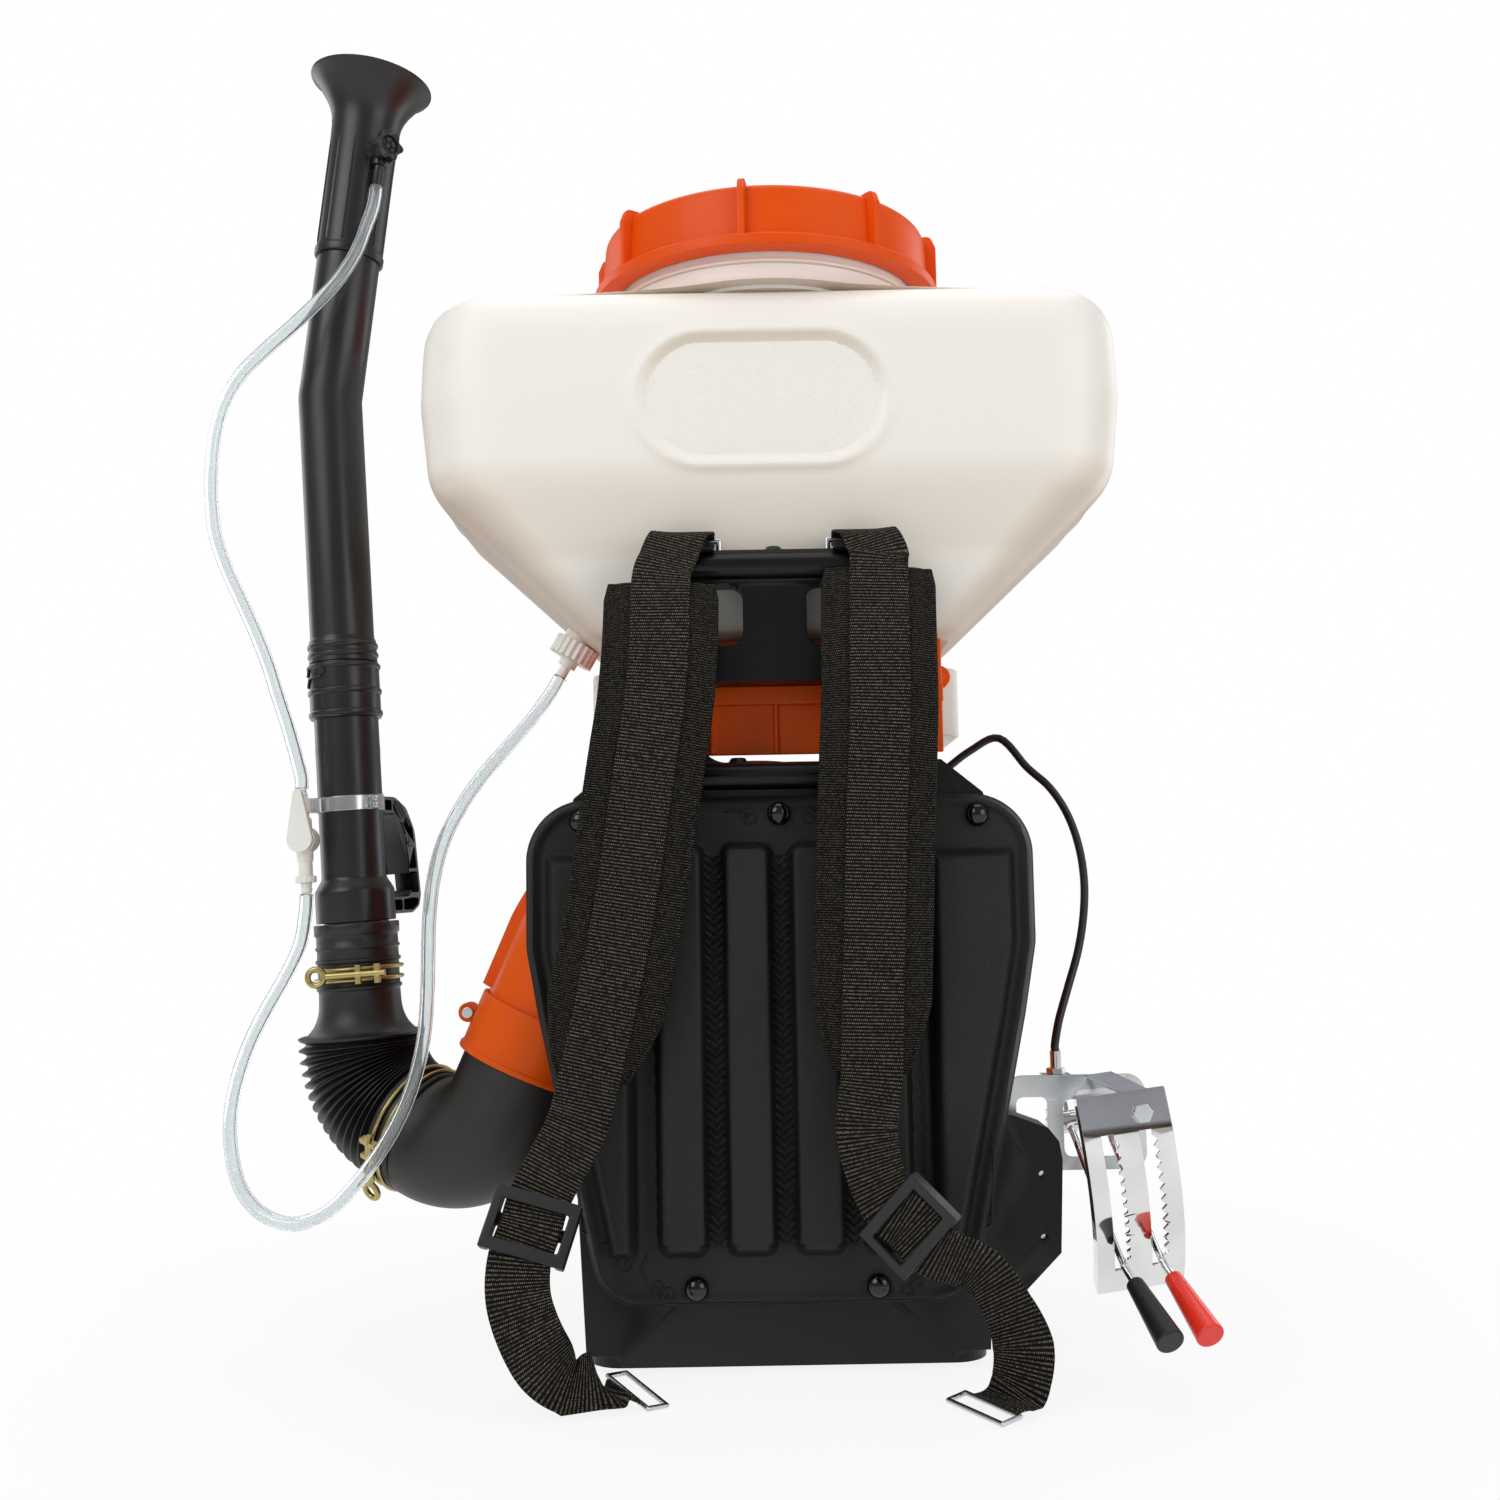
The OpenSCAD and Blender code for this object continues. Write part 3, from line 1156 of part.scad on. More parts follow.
// Slide buckle round the webbing at c: along d, across s
buckle_gap = webbing_t / 2 + 1;
module buckle(c, d, s) {
    side = off_line(s, d);
    placed(c, side, d, cross(side, d)) {
        for (m = [-1, 1]) {
            translate([m * (webbing_w / 2 + 5) - 3, -20, -buckle_gap - 3]) cube([6, 40, 2 * buckle_gap + 6]);
            translate([-webbing_w / 2 - 6, m * 16 - 4, -buckle_gap - 3]) cube([webbing_w + 12, 8, 3]);
        }
        translate([-webbing_w / 2 - 6, -4, buckle_gap]) cube([webbing_w + 12, 8, 3]);
    }
}
module strap_buckles() color("#161616") {
    buckle(left_webbing[10], tangent(left_webbing, 10), left_sides[10]);
    buckle(right_webbing[10], tangent(right_webbing, 10), right_sides[10]);
}

// Wire ring at the end of a strap
module end_ring(points, sides) {
    n = len(points) - 1;
    d = tangent(points, n);
    s = off_line(sides[n], d);
    placed(points[n] + (1.8 + seat_gap) * d + [0, 0, 0.6], s, d, cross(s, d)) {
        for (y = [0, 14]) translate([-24, y, 0]) rotate([0, 90, 0]) cylinder(h = 48, r = 1.6);
        for (x = [-24, 24]) translate([x, 0, 0]) {
            rotate([-90, 0, 0]) cylinder(h = 14, r = 1.6);
            sphere(r = 1.6);
            translate([0, 14, 0]) sphere(r = 1.6);
        }
    }
}
module strap_rings() color("#c9ccd0") {
    end_ring(left_webbing, left_sides);
    end_ring(right_webbing, right_sides);
}

// ---- levers ----
lever_pivot = [218, -72, 147];
bracket_y = -88;
sheet_t = 2.5;
lever_x = [-13.5, 11];
plate_low = -48;
plate_high = 15;
rest_angle = -33;
slot_high = 4;
stop_r = 2.6;
// The tab behind the plate: its bottom and top, and its front face, which meets the plate at the top
tab_z = [12, 33];
tab_y = -sqrt(quadrant_r * quadrant_r - tab_z[1] * tab_z[1]) + seat_gap;
bolt_up = 20;

module at_levers() {
    translate(lever_pivot) rotate([0, -quadrant_tilt, 0]) children();
}
// Points a child's +x axis forward (-Y) and down by an angle about the pivot axis; z stays the pivot axis
module round_pivot() {
    placed([0, 0, 0], [0, -1, 0], [0, 0, 1], [-1, 0, 0]) children();
}

module lever_bracket() color("#c6c9cc") {
    difference() {
        union() {
            // sheet behind the flange box, and the arm out to the right
            translate([0, bracket_y + sheet_t, 0]) rotate([90, 0, 0]) linear_extrude(sheet_t) difference() {
                union() {
                    translate([174, 103]) round_rect(36, 82, 6);
                    translate([207, 147]) round_rect(98, 66, 12);
                }
                translate([176, 148]) round_rect(22, 34, 5);
                translate([218, 143]) round_rect(40, 40, 6);
            }
            at_levers() {
                // ears of the pivot pin
                for (x = [-25, 25]) translate([x - 1.25, bracket_y - lever_pivot[1] + 0.5, -9])
                    cube([2.5, 29.5, 18]);
                // strip forward to the quadrant plate
                translate([2.5, tab_y + 0.5, tab_z[1] - sheet_t - 0.3])
                    cube([17, bracket_y - lever_pivot[1] - tab_y + 0.5, sheet_t]);
                translate([2, tab_y, tab_z[0]]) cube([18, sheet_t, tab_z[1] - tab_z[0]]);
            }
            // tab that holds the cable's end
            translate([186, bracket_y + 0.5, 177]) cube([20, 21.5, sheet_t]);
        }
        at_levers() rotate([0, 90, 0]) translate([0, 0, -40]) cylinder(h = 80, r = 3 + hole_gap);
        for (s = bracket_screws) translate([s[0], bracket_y - 1, s[1]]) rotate([-90, 0, 0])
            cylinder(h = 6, r = 2.5 + hole_gap);
        translate([196, -76, 170]) cylinder(h = 20, r = 4 + hole_gap);
        at_levers() translate([lever_x[1], -quadrant_r - 5, bolt_up]) rotate([-90, 0, 0])
            cylinder(h = 20, r = 3 + hole_gap);
    }
}

module quadrant_plate() color("#d3d6d8") at_levers() difference() {
    round_pivot() rotate(plate_low) rotate_extrude(angle = plate_high - plate_low, $fn = 160) union() {
        translate([quadrant_r, -quadrant_w / 2]) square([2, quadrant_w]);
        translate([quadrant_r - 9, quadrant_w / 2 - 2]) square([10, 2]);
    }
    for (k = [0, 1]) {
        round_pivot() rotate(rest_angle - 5) rotate_extrude(angle = slot_high - rest_angle + 5, $fn = 160)
            translate([quadrant_r - 4, -lever_x[k] - 4]) square([10, 8]);
        for (i = [0 : stop_count - 1])
            round_pivot() rotate(rest_angle + i * (slot_high - rest_angle - 3) / (stop_count - 1))
                translate([quadrant_r - 2, 0, -lever_x[k] - 4]) rotate([0, 90, 0])
                    cylinder(h = 8, r = stop_r + 0.7 * k, $fn = k == 0 ? 48 : 4);
    }
    translate([lever_x[1], -quadrant_r - 5, bolt_up]) rotate([-90, 0, 0]) cylinder(h = 20, r = 3 + hole_gap);
}

// Bolt of the quadrant plate, the two screws of the bracket and the pivot pin
module quadrant_fasteners() color("#b4b8bb") {
    at_levers() {
        translate([lever_x[1], -quadrant_r - 5.5, bolt_up]) rotate([-90, 0, 0]) {
            cylinder(h = 4, r = 6.5, $fn = 6);
            cylinder(h = 20, r = 3);
        }
        translate([lever_x[1], tab_y + sheet_t + seat_gap, bolt_up]) rotate([-90, 0, 0])
            cylinder(h = 4, r = 6, $fn = 6);
        translate([-28, 0, 0]) rotate([0, 90, 0]) cylinder(h = 56, r = 3);
        for (x = [-29.3, 26.5]) translate([x, 0, 0]) rotate([0, 90, 0]) cylinder(h = 2.8, r = 5);
    }
    for (s = bracket_screws) translate([s[0], bracket_y + sheet_t, s[1]]) {
        rotate([-90, 0, 0]) cylinder(h = 3.5, r = 5.5, $fn = 6);
        rotate([90, 0, 0]) cylinder(h = 36, r = 2.5);
    }
}

// A lever at rest, turning about z in the pivot's frame with its rod along x
kink = 9;
module at_lever(k) {
    at_levers() round_pivot() rotate(rest_angle) translate([0, 0, -lever_x[k]]) children();
}
module lever(k) at_lever(k) difference() {
    union() {
        translate([0, 0, -5]) cylinder(h = 10, r = 8);
        rotate([0, 90, 0]) cylinder(h = quadrant_r + 10, r = lever_d / 2);
        translate([quadrant_r + 10, 0, 0]) {
            sphere(r = lever_d / 2 + 0.2);
            rotate([0, 90 + kink, 0]) cylinder(h = 45, r = lever_d / 2);
        }
        // short arm for the cable
        rotate(150) translate([0, -4, -1.5]) cube([24, 8, 3]);
        rotate(150) translate([24, 0, -4]) cylinder(h = 8, r = 4);
    }
    translate([0, 0, -6]) cylinder(h = 12, r = 3 + run_gap);
}
module grip(k) at_lever(k) translate([quadrant_r + 10, 0, 0]) rotate([0, 90 + kink, 0]) difference() {
    translate([0, 0, 14]) rotate_extrude() polygon([[0, 0], [5.3, 0], [5.8, 1], [9, 49], [8.4, 50], [0, 50]]);
    cylinder(h = 46, r = lever_d / 2 + hole_gap);
}
module throttle_lever() color("#c8cbce") lever(0);
module shutter_lever() color("#c8cbce") lever(1);
module throttle_grip() color("#171717") grip(0);
module shutter_grip() color("#d8321e") grip(1);

stop_at = [196, -76];
module cable_stop() color("#b4b8bb") translate([stop_at[0], stop_at[1], 0]) {
    translate([0, 0, 170]) cylinder(h = 26, r = 4);
    for (z = [172.7, 179.8]) translate([0, 0, z]) cylinder(h = 4, r = 7, $fn = 6);
}
throttle_cable_route = [
    [196, -76, 196], [196, -76, 201], [200, -74, 218], [209, -66, 241], [219, -56, 266], [226, -46, 292],
    [229, -38, 318], [227, -32, 344], [220, -28, 368], [208, -26, 388], [192, -22, 404],
    [172, -18, 427], [150, -12, 418], [128, -8, 402], [104, -6, 388], [80, -6, 380],
    [50, -6, 378], [20, -8, 376], [-10, -9, 374], [-40, -8, 370], [-58, 0, 360],
    [-66, 10, 346], [-68, 14, 337]
];
module throttle_cable() color("#111111") cord(throttle_cable_route, 6, 8);

carrier_frame();
back_pad();
pad_rivets();
frame_plugs();
vibration_mounts();
fan_housing_front();
fan_housing_rear();
outlet_collar();
housing_screws();
outlet_elbow();
impeller();
crankshaft();
flywheel();
crankcase();
engine_cylinder();
spark_plug();
muffler();
muffler_guard();
carburettor();
choke_lever();
air_filter_cover();
recoil_housing();
starter_handle();
tank_seat();
chemical_tank();
tank_gasket();
tank_lid();
outlet_nut();
outlet_spigot();
fuel_tank();
fuel_cap();
strap_bows();
shoulder_pad_left();
shoulder_pad_right();
webbing_left();
webbing_right();
strap_buckles();
strap_rings();
lever_bracket();
quadrant_plate();
quadrant_fasteners();
throttle_lever();
throttle_grip();
shutter_lever();
shutter_grip();
throttle_cable();
cable_stop();
bellows();
bellows_clamp_lower();
bellows_clamp_upper();
handle_tube();
wand_handle();
handle_band();
wand_tube();
nozzle();
dosing_knob();
tap_body();
tap_lever();
hose_upper();
hose_lower();
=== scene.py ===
"""Looks of a motorised knapsack mist blower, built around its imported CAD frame."""
import json
import math

import bmesh
import bpy
import numpy as np
from mathutils import Matrix, Vector


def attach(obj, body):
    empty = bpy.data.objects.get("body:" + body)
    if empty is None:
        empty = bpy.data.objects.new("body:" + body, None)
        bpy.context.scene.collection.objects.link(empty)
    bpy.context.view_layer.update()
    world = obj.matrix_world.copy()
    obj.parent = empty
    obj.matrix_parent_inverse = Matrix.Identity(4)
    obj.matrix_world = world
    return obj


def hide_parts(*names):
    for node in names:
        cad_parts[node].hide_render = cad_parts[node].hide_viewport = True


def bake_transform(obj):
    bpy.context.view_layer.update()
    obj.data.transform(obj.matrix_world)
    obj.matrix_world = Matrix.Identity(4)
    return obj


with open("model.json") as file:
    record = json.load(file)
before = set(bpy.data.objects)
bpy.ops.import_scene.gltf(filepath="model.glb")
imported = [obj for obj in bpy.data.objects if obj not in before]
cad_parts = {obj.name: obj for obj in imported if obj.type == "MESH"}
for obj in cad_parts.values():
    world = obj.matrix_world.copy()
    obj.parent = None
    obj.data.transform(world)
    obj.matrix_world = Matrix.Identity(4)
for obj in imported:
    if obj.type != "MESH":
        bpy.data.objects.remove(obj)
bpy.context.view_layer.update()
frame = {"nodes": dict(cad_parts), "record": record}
NODES = frame["nodes"]
MM = 0.001

# ---------------------------------------------------------------- helpers


def mesh_object(name, verts, faces, smooth=True):
    mesh = bpy.data.meshes.new(name)
    mesh.from_pydata([tuple(p) for p in verts], [], faces)
    mesh.validate()
    bm = bmesh.new()
    bm.from_mesh(mesh)
    bmesh.ops.recalc_face_normals(bm, faces=bm.faces)
    bm.to_mesh(mesh)
    bm.free()
    mesh.polygons.foreach_set("use_smooth", [smooth] * len(mesh.polygons))
    obj = bpy.data.objects.new(name, mesh)
    bpy.context.collection.objects.link(obj)
    return obj


def apply_all(obj):
    """Applies every modifier of obj to its mesh."""
    bpy.context.view_layer.update()
    graph = bpy.context.evaluated_depsgraph_get()
    mesh = bpy.data.meshes.new_from_object(obj.evaluated_get(graph))
    obj.modifiers.clear()
    old = obj.data
    obj.data = mesh
    bpy.data.meshes.remove(old)
    return obj


def modify(obj, kind, apply=True, **settings):
    m = obj.modifiers.new(kind.lower(), kind)
    for key, value in settings.items():
        setattr(m, key, value)
    return apply_all(obj) if apply else obj


def finish_piece(obj, body, slot_name, *replaced, look=None):
    """Gives a piece the material of its slot and hangs it on its body, and hides the CAD nodes that it replaces."""
    obj.data.materials.clear()
    obj.data.materials.append(M[look or slot_name])
    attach(obj, body)
    if replaced:
        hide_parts(*replaced)
    return obj


# ---------------------------------------------------------------- shapes


def tube_rings(line, radius, sides, first=(0, 1, 0)):
    """Rings square to a line. The radius is a number, or a function from 0 to 1 along it."""
    rings = []
    u = Vector(first)
    n = len(line)
    line = [Vector(p) for p in line]
    for i, p in enumerate(line):
        t = (line[min(i + 1, n - 1)] - line[max(i - 1, 0)]).normalized()
        u = (u - t * u.dot(t)).normalized()
        w = t.cross(u)
        r = radius(i / (n - 1)) if callable(radius) else radius
        rings.append([p + r * (math.cos(a) * u + math.sin(a) * w)
                      for a in (2 * math.pi * k / sides for k in range(sides))])
    return rings


class Shape:
    """Collects closed skins, in millimetres, for one mesh."""

    def __init__(self):
        self.verts = []
        self.faces = []

    def add(self, verts, faces, matrix=None):
        start = len(self.verts)
        self.verts += [matrix @ Vector(p) if matrix else Vector(p) for p in verts]
        self.faces += [tuple(start + i for i in f) for f in faces]
        return self

    def rings(self, rings, matrix=None, caps=True, loop=False):
        """A skin through rings with the same number of points."""
        n = len(rings[0])
        m = len(rings)
        faces = []
        for i in range(m if loop else m - 1):
            j = (i + 1) % m
            for k in range(n):
                k2 = (k + 1) % n
                faces.append((i * n + k, i * n + k2, j * n + k2, j * n + k))
        if caps and not loop:
            faces.append(tuple(range(n)))
            faces.append(tuple(range((m - 1) * n, m * n)))
        return self.add([p for ring in rings for p in ring], faces, matrix)

    def revolve(self, profile, sides=96, matrix=None, loop=True):
        """A profile of (radius, height) turned round z. Points on the axis become poles."""
        verts, faces, index = [], [], []
        for r, z in profile:
            if r < 1e-6:
                index.append([len(verts)] * sides)
                verts.append((0, 0, z))
            else:
                index.append(list(range(len(verts), len(verts) + sides)))
                for k in range(sides):
                    a = 2 * math.pi * k / sides
                    verts.append((r * math.cos(a), r * math.sin(a), z))
        pairs = list(zip(index, index[1:] + ([index[0]] if loop else [])))
        for a, b in pairs[: len(index) if loop else len(index) - 1]:
            for k in range(sides):
                k2 = (k + 1) % sides
                face = []
                for i in (a[k], a[k2], b[k2], b[k]):
                    if i not in face:
                        face.append(i)
                if len(face) > 2:
                    faces.append(tuple(face))
        return self.add(verts, faces, matrix)

    def prism(self, outline, z0, z1, matrix=None):
        n = len(outline)
        verts = [(x, y, z) for z in (z0, z1) for x, y in outline]
        faces = [tuple(range(n)), tuple(range(n, 2 * n))]
        faces += [(k, (k + 1) % n, n + (k + 1) % n, n + k) for k in range(n)]
        return self.add(verts, faces, matrix)

    def tube(self, line, radius, sides=12, matrix=None, first=(0, 1, 0)):
        return self.rings(tube_rings(line, radius, sides, first), matrix)

    def make(self, name, smooth=True):
        return mesh_object(name, [p * MM for p in self.verts], self.faces, smooth)


def fillet(points, steps=4):
    """Rounds the corners of a closed outline of (x, y, radius)."""
    out = []
    n = len(points)
    for i, (x, y, r) in enumerate(points):
        p = Vector((x, y))
        a = Vector(points[i - 1][:2]) - p
        b = Vector(points[(i + 1) % n][:2]) - p
        if r <= 0 or a.length < 1e-6 or b.length < 1e-6:
            out.append((x, y))
            continue
        half = max(0.05, a.angle(b) / 2)
        cut = min(r / math.tan(half), a.length * 0.49, b.length * 0.49)
        p0 = p + a.normalized() * cut
        p1 = p + b.normalized() * cut
        for k in range(steps + 1):
            t = k / steps
            q = p0 * (1 - t) ** 2 + p * 2 * t * (1 - t) + p1 * t * t
            out.append((q.x, q.y))
    return out


def soften(obj, angle=38, weighted=True):
    """Smooth shading with creases kept where faces meet at more than the angle."""
    mesh = obj.data
    mesh.polygons.foreach_set("use_smooth", [True] * len(mesh.polygons))
    mesh.set_sharp_from_angle(angle=math.radians(angle))
    if weighted:
        modify(obj, "WEIGHTED_NORMAL", keep_sharp=True)
    return obj


# nodes whose wide flat faces have openings: these faces are not joined
HOLED = ("carrier_frame", "lever_bracket", "quadrant_plate", "fan_housing_rear")


def copy_of(node, bevel=0.8, segments=2, angle=32):
    """A copy of a CAD node's mesh with its flat faces joined and its edges rounded."""
    mesh = NODES[node].data.copy()
    obj = bpy.data.objects.new(node + "_skin", mesh)
    bpy.context.collection.objects.link(obj)
    bm = bmesh.new()
    bm.from_mesh(mesh)
    bmesh.ops.remove_doubles(bm, verts=bm.verts, dist=1e-5)
    if node not in HOLED:
        bmesh.ops.dissolve_limit(bm, angle_limit=math.radians(0.05), verts=bm.verts, edges=bm.edges)
    bm.to_mesh(mesh)
    bm.free()
    if bevel:
        modify(obj, "BEVEL", width=bevel * MM, segments=segments, limit_method="ANGLE",
               angle_limit=math.radians(angle), use_clamp_overlap=False)
    return soften(obj)


def clamp01(t):
    return np.clip(t, 0.0, 1.0)


def ease(t):
    t = clamp01(t)
    return t * t * (3 - 2 * t)


def sind(a):
    return math.sin(math.radians(a))


def cosd(a):
    return math.cos(math.radians(a))


def turn(axis, degrees):
    return Matrix.Rotation(math.radians(degrees), 4, axis)


def shift(*p):
    return Matrix.Translation(p)


# ---------------------------------------------------------------- materials


class Nodes:
    """A small builder of one procedural material."""

    def __init__(self, name, color, roughness=0.5, metallic=0.0, **extra):
        self.mat = bpy.data.materials.new(name)
        self.mat.use_nodes = True
        self.tree = self.mat.node_tree
        self.bsdf = self.tree.nodes["Principled BSDF"]
        self.color = (*color, 1.0)
        self.bsdf.inputs["Base Color"].default_value = self.color
        self.bsdf.inputs["Roughness"].default_value = roughness
        self.bsdf.inputs["Metallic"].default_value = metallic
        for key, value in extra.items():
            self.bsdf.inputs[key.replace("_", " ")].default_value = value
        self.height = None

    def add(self, kind, **settings):
        n = self.tree.nodes.new(kind)
        for key, value in settings.items():
            setattr(n, key, value)
        return n

    def link(self, a, b):
        self.tree.links.new(a, b)

    def coords(self, scale=(1, 1, 1)):
        c = self.add("ShaderNodeTexCoord")
        m = self.add("ShaderNodeMapping")
        m.inputs["Scale"].default_value = scale
        self.link(c.outputs["Object"], m.inputs["Vector"])
        return m.outputs["Vector"]

    def split(self, kind, output, **settings):
        """The x, y and z of what an input node gives."""
        n = self.add(kind, **settings)
        q = self.add("ShaderNodeSeparateXYZ")
        self.link(n.outputs[output], q.inputs[0])
        return tuple(q.outputs)

    def noise(self, scale, detail=3, rough=0.5, stretch=(1, 1, 1)):
        n = self.add("ShaderNodeTexNoise")
        n.inputs["Scale"].default_value = scale
        n.inputs["Detail"].default_value = detail
        n.inputs["Roughness"].default_value = rough
        self.link(self.coords(stretch), n.inputs["Vector"])
        return n.outputs["Fac"]

    def math(self, op, a, b=None, c=None):
        n = self.add("ShaderNodeMath", operation=op)
        for i, x in enumerate((a, b, c)):
            if x is None:
                continue
            if isinstance(x, (int, float)):
                n.inputs[i].default_value = x
            else:
                self.link(x, n.inputs[i])
        return n.outputs[0]

    def ramp(self, fac, stops):
        n = self.add("ShaderNodeValToRGB")
        e = n.color_ramp.elements
        while len(e) < len(stops):
            e.new(0.5)
        for i, (pos, col) in enumerate(stops):
            e[i].position = pos
            e[i].color = (*col, 1) if len(col) == 3 else col
        self.link(fac, n.inputs["Fac"])
        return n.outputs["Color"]

    def mottle(self, scale, amount, detail=4, stretch=(1, 1, 1)):
        """Varies the base colour a little over the surface."""
        fac = self.noise(scale, detail, stretch=stretch)
        dark = tuple(c * (1 - amount) for c in self.color[:3])
        light = tuple(min(1, c * (1 + amount)) for c in self.color[:3])
        self.link(self.ramp(fac, [(0.3, dark), (0.7, light)]), self.bsdf.inputs["Base Color"])
        return self

    def gloss(self, scale, low, high, detail=4, stretch=(1, 1, 1)):
        """Varies the roughness over the surface."""
        fac = self.noise(scale, detail, stretch=stretch)
        n = self.add("ShaderNodeMapRange")
        n.inputs["From Min"].default_value = 0.3
        n.inputs["From Max"].default_value = 0.7
        n.inputs["To Min"].default_value = low
        n.inputs["To Max"].default_value = high
        self.link(fac, n.inputs["Value"])
        self.link(n.outputs["Result"], self.bsdf.inputs["Roughness"])
        return self

    def bump(self, height, strength, distance):
        n = self.add("ShaderNodeBump")
        n.inputs["Strength"].default_value = strength
        n.inputs["Distance"].default_value = distance
        self.link(height, n.inputs["Height"])
        if self.height is not None:
            self.link(self.height, n.inputs["Normal"])
        self.height = n.outputs["Normal"]
        self.link(self.height, self.bsdf.inputs["Normal"])
        return self

    def rounded(self, radius):
        """Breaks sharp edges in the shading."""
        n = self.add("ShaderNodeBevel", samples=4)
        n.inputs["Radius"].default_value = radius
        self.height = n.outputs["Normal"]
        return self

    def grain(self, scale, strength, distance, detail=2, stretch=(1, 1, 1)):
        return self.bump(self.noise(scale, detail, stretch=stretch), strength, distance)


def srgb(hexcode):
    out = []
    for i in (0, 2, 4):
        c = int(hexcode[i : i + 2], 16) / 255
        out.append(c / 12.92 if c <= 0.04045 else ((c + 0.055) / 1.055) ** 2.4)
    return tuple(out)


def plastic(name, hexcode, low, high, grain=0.12, scale=900, edge=0, **extra):
    m = Nodes(name, srgb(hexcode), (low + high) / 2, **extra)
    if edge:
        m.rounded(edge)
    m.mottle(14, 0.05).gloss(9, low, high).grain(scale, grain, 0.0002)
    return m.mat


def metal(name, hexcode, low, high, brushed=(1, 1, 1), grain=0.1, scale=500, edge=0):
    m = Nodes(name, srgb(hexcode), (low + high) / 2, 1.0)
    if edge:
        m.rounded(edge)
    m.mottle(30, 0.08).gloss(40, low, high, stretch=brushed).grain(scale, grain, 0.0002, stretch=brushed)
    return m.mat


def stadium(m, mid, half, radius, soft):
    """1 inside a long round shape in the xz plane, 0 outside, in metres."""
    x, _, z = m.split("ShaderNodeTexCoord", "Object")
    off = m.math("ABSOLUTE", m.math("SUBTRACT", x, mid[0]))
    dx = m.math("MAXIMUM", m.math("SUBTRACT", off, half), 0.0)
    dz = m.math("SUBTRACT", z, mid[1])
    d = m.math("SQRT", m.math("ADD", m.math("MULTIPLY", dx, dx), m.math("MULTIPLY", dz, dz)))
    n = m.add("ShaderNodeMapRange")
    n.inputs["From Min"].default_value = radius
    n.inputs["From Max"].default_value = radius - soft
    m.link(d, n.inputs["Value"])
    return n.outputs["Result"]


def tank_skin():
    """Blown tank: warm white, with painted shade that turns it beige where it faces down and a little lighter where
    it faces up, pebbled in the recess.
    """
    m = Nodes("tank_white", srgb("f5f1e9"), 0.4)
    up = m.split("ShaderNodeNewGeometry", "Normal")[2]
    fac = m.math("ADD", m.math("MULTIPLY", up, 0.5), 0.5)
    # painted shade: the colour darkens to beige as the surface turns to face down and lightens slightly facing up,
    # standing in for how light falls
    tone = m.ramp(fac, [(0.1, srgb("cdbcaa")), (0.36, srgb("e6dccd")),
                        (0.5, srgb("f5f1e9")), (1.0, srgb("f7f3ec"))])
    m.link(tone, m.bsdf.inputs["Base Color"])
    m.gloss(6, 0.34, 0.46).grain(900, 0.1, 0.0002)
    pebble = m.math("MULTIPLY", m.noise(420, 1), stadium(m, (-0.0055, 0.663), 0.0415, 0.0445, 0.002))
    return m.bump(pebble, 0.7, 0.0011).mat


def woven(name, dark, light, pitch, rough):
    """Cloth drawn in its own strip coordinates: across, along and through, in millimetres. Its light colour is a
    painted highlight on the rib tops, broken up by random flecks.
    """
    m = Nodes(name, srgb(dark), rough, Specular_IOR_Level=0.15)
    across, along, _ = m.split("ShaderNodeAttribute", "Vector", attribute_name="weave")
    row = m.math("ABSOLUTE", m.math("SINE", m.math("MULTIPLY", along, math.pi / pitch)))
    step = m.math("MULTIPLY", m.math("FLOOR", m.math("MULTIPLY", along, 1 / pitch)), math.pi / 2)
    yarn = m.math("ABSOLUTE", m.math("SINE", m.math("ADD", m.math("MULTIPLY", across, math.pi / 1.25), step)))
    top = m.math("MULTIPLY", row, m.math("ADD", m.math("MULTIPLY", yarn, 0.45), 0.55))
    # painted highlight on the rib tops, broken up by noise flecks
    highlight_and_fleck = m.math("MULTIPLY", top, m.math("ADD", m.math("MULTIPLY", m.noise(700, 1), 0.9), 0.55))
    mid = tuple(0.8 * x + 0.2 * y for x, y in zip(srgb(dark), srgb(light)))
    tone = m.ramp(highlight_and_fleck, [(0.5, srgb(dark)), (0.84, mid), (1.0, srgb(light))])
    m.link(tone, m.bsdf.inputs["Base Color"])
    return m.bump(top, 0.9, 0.0005).mat


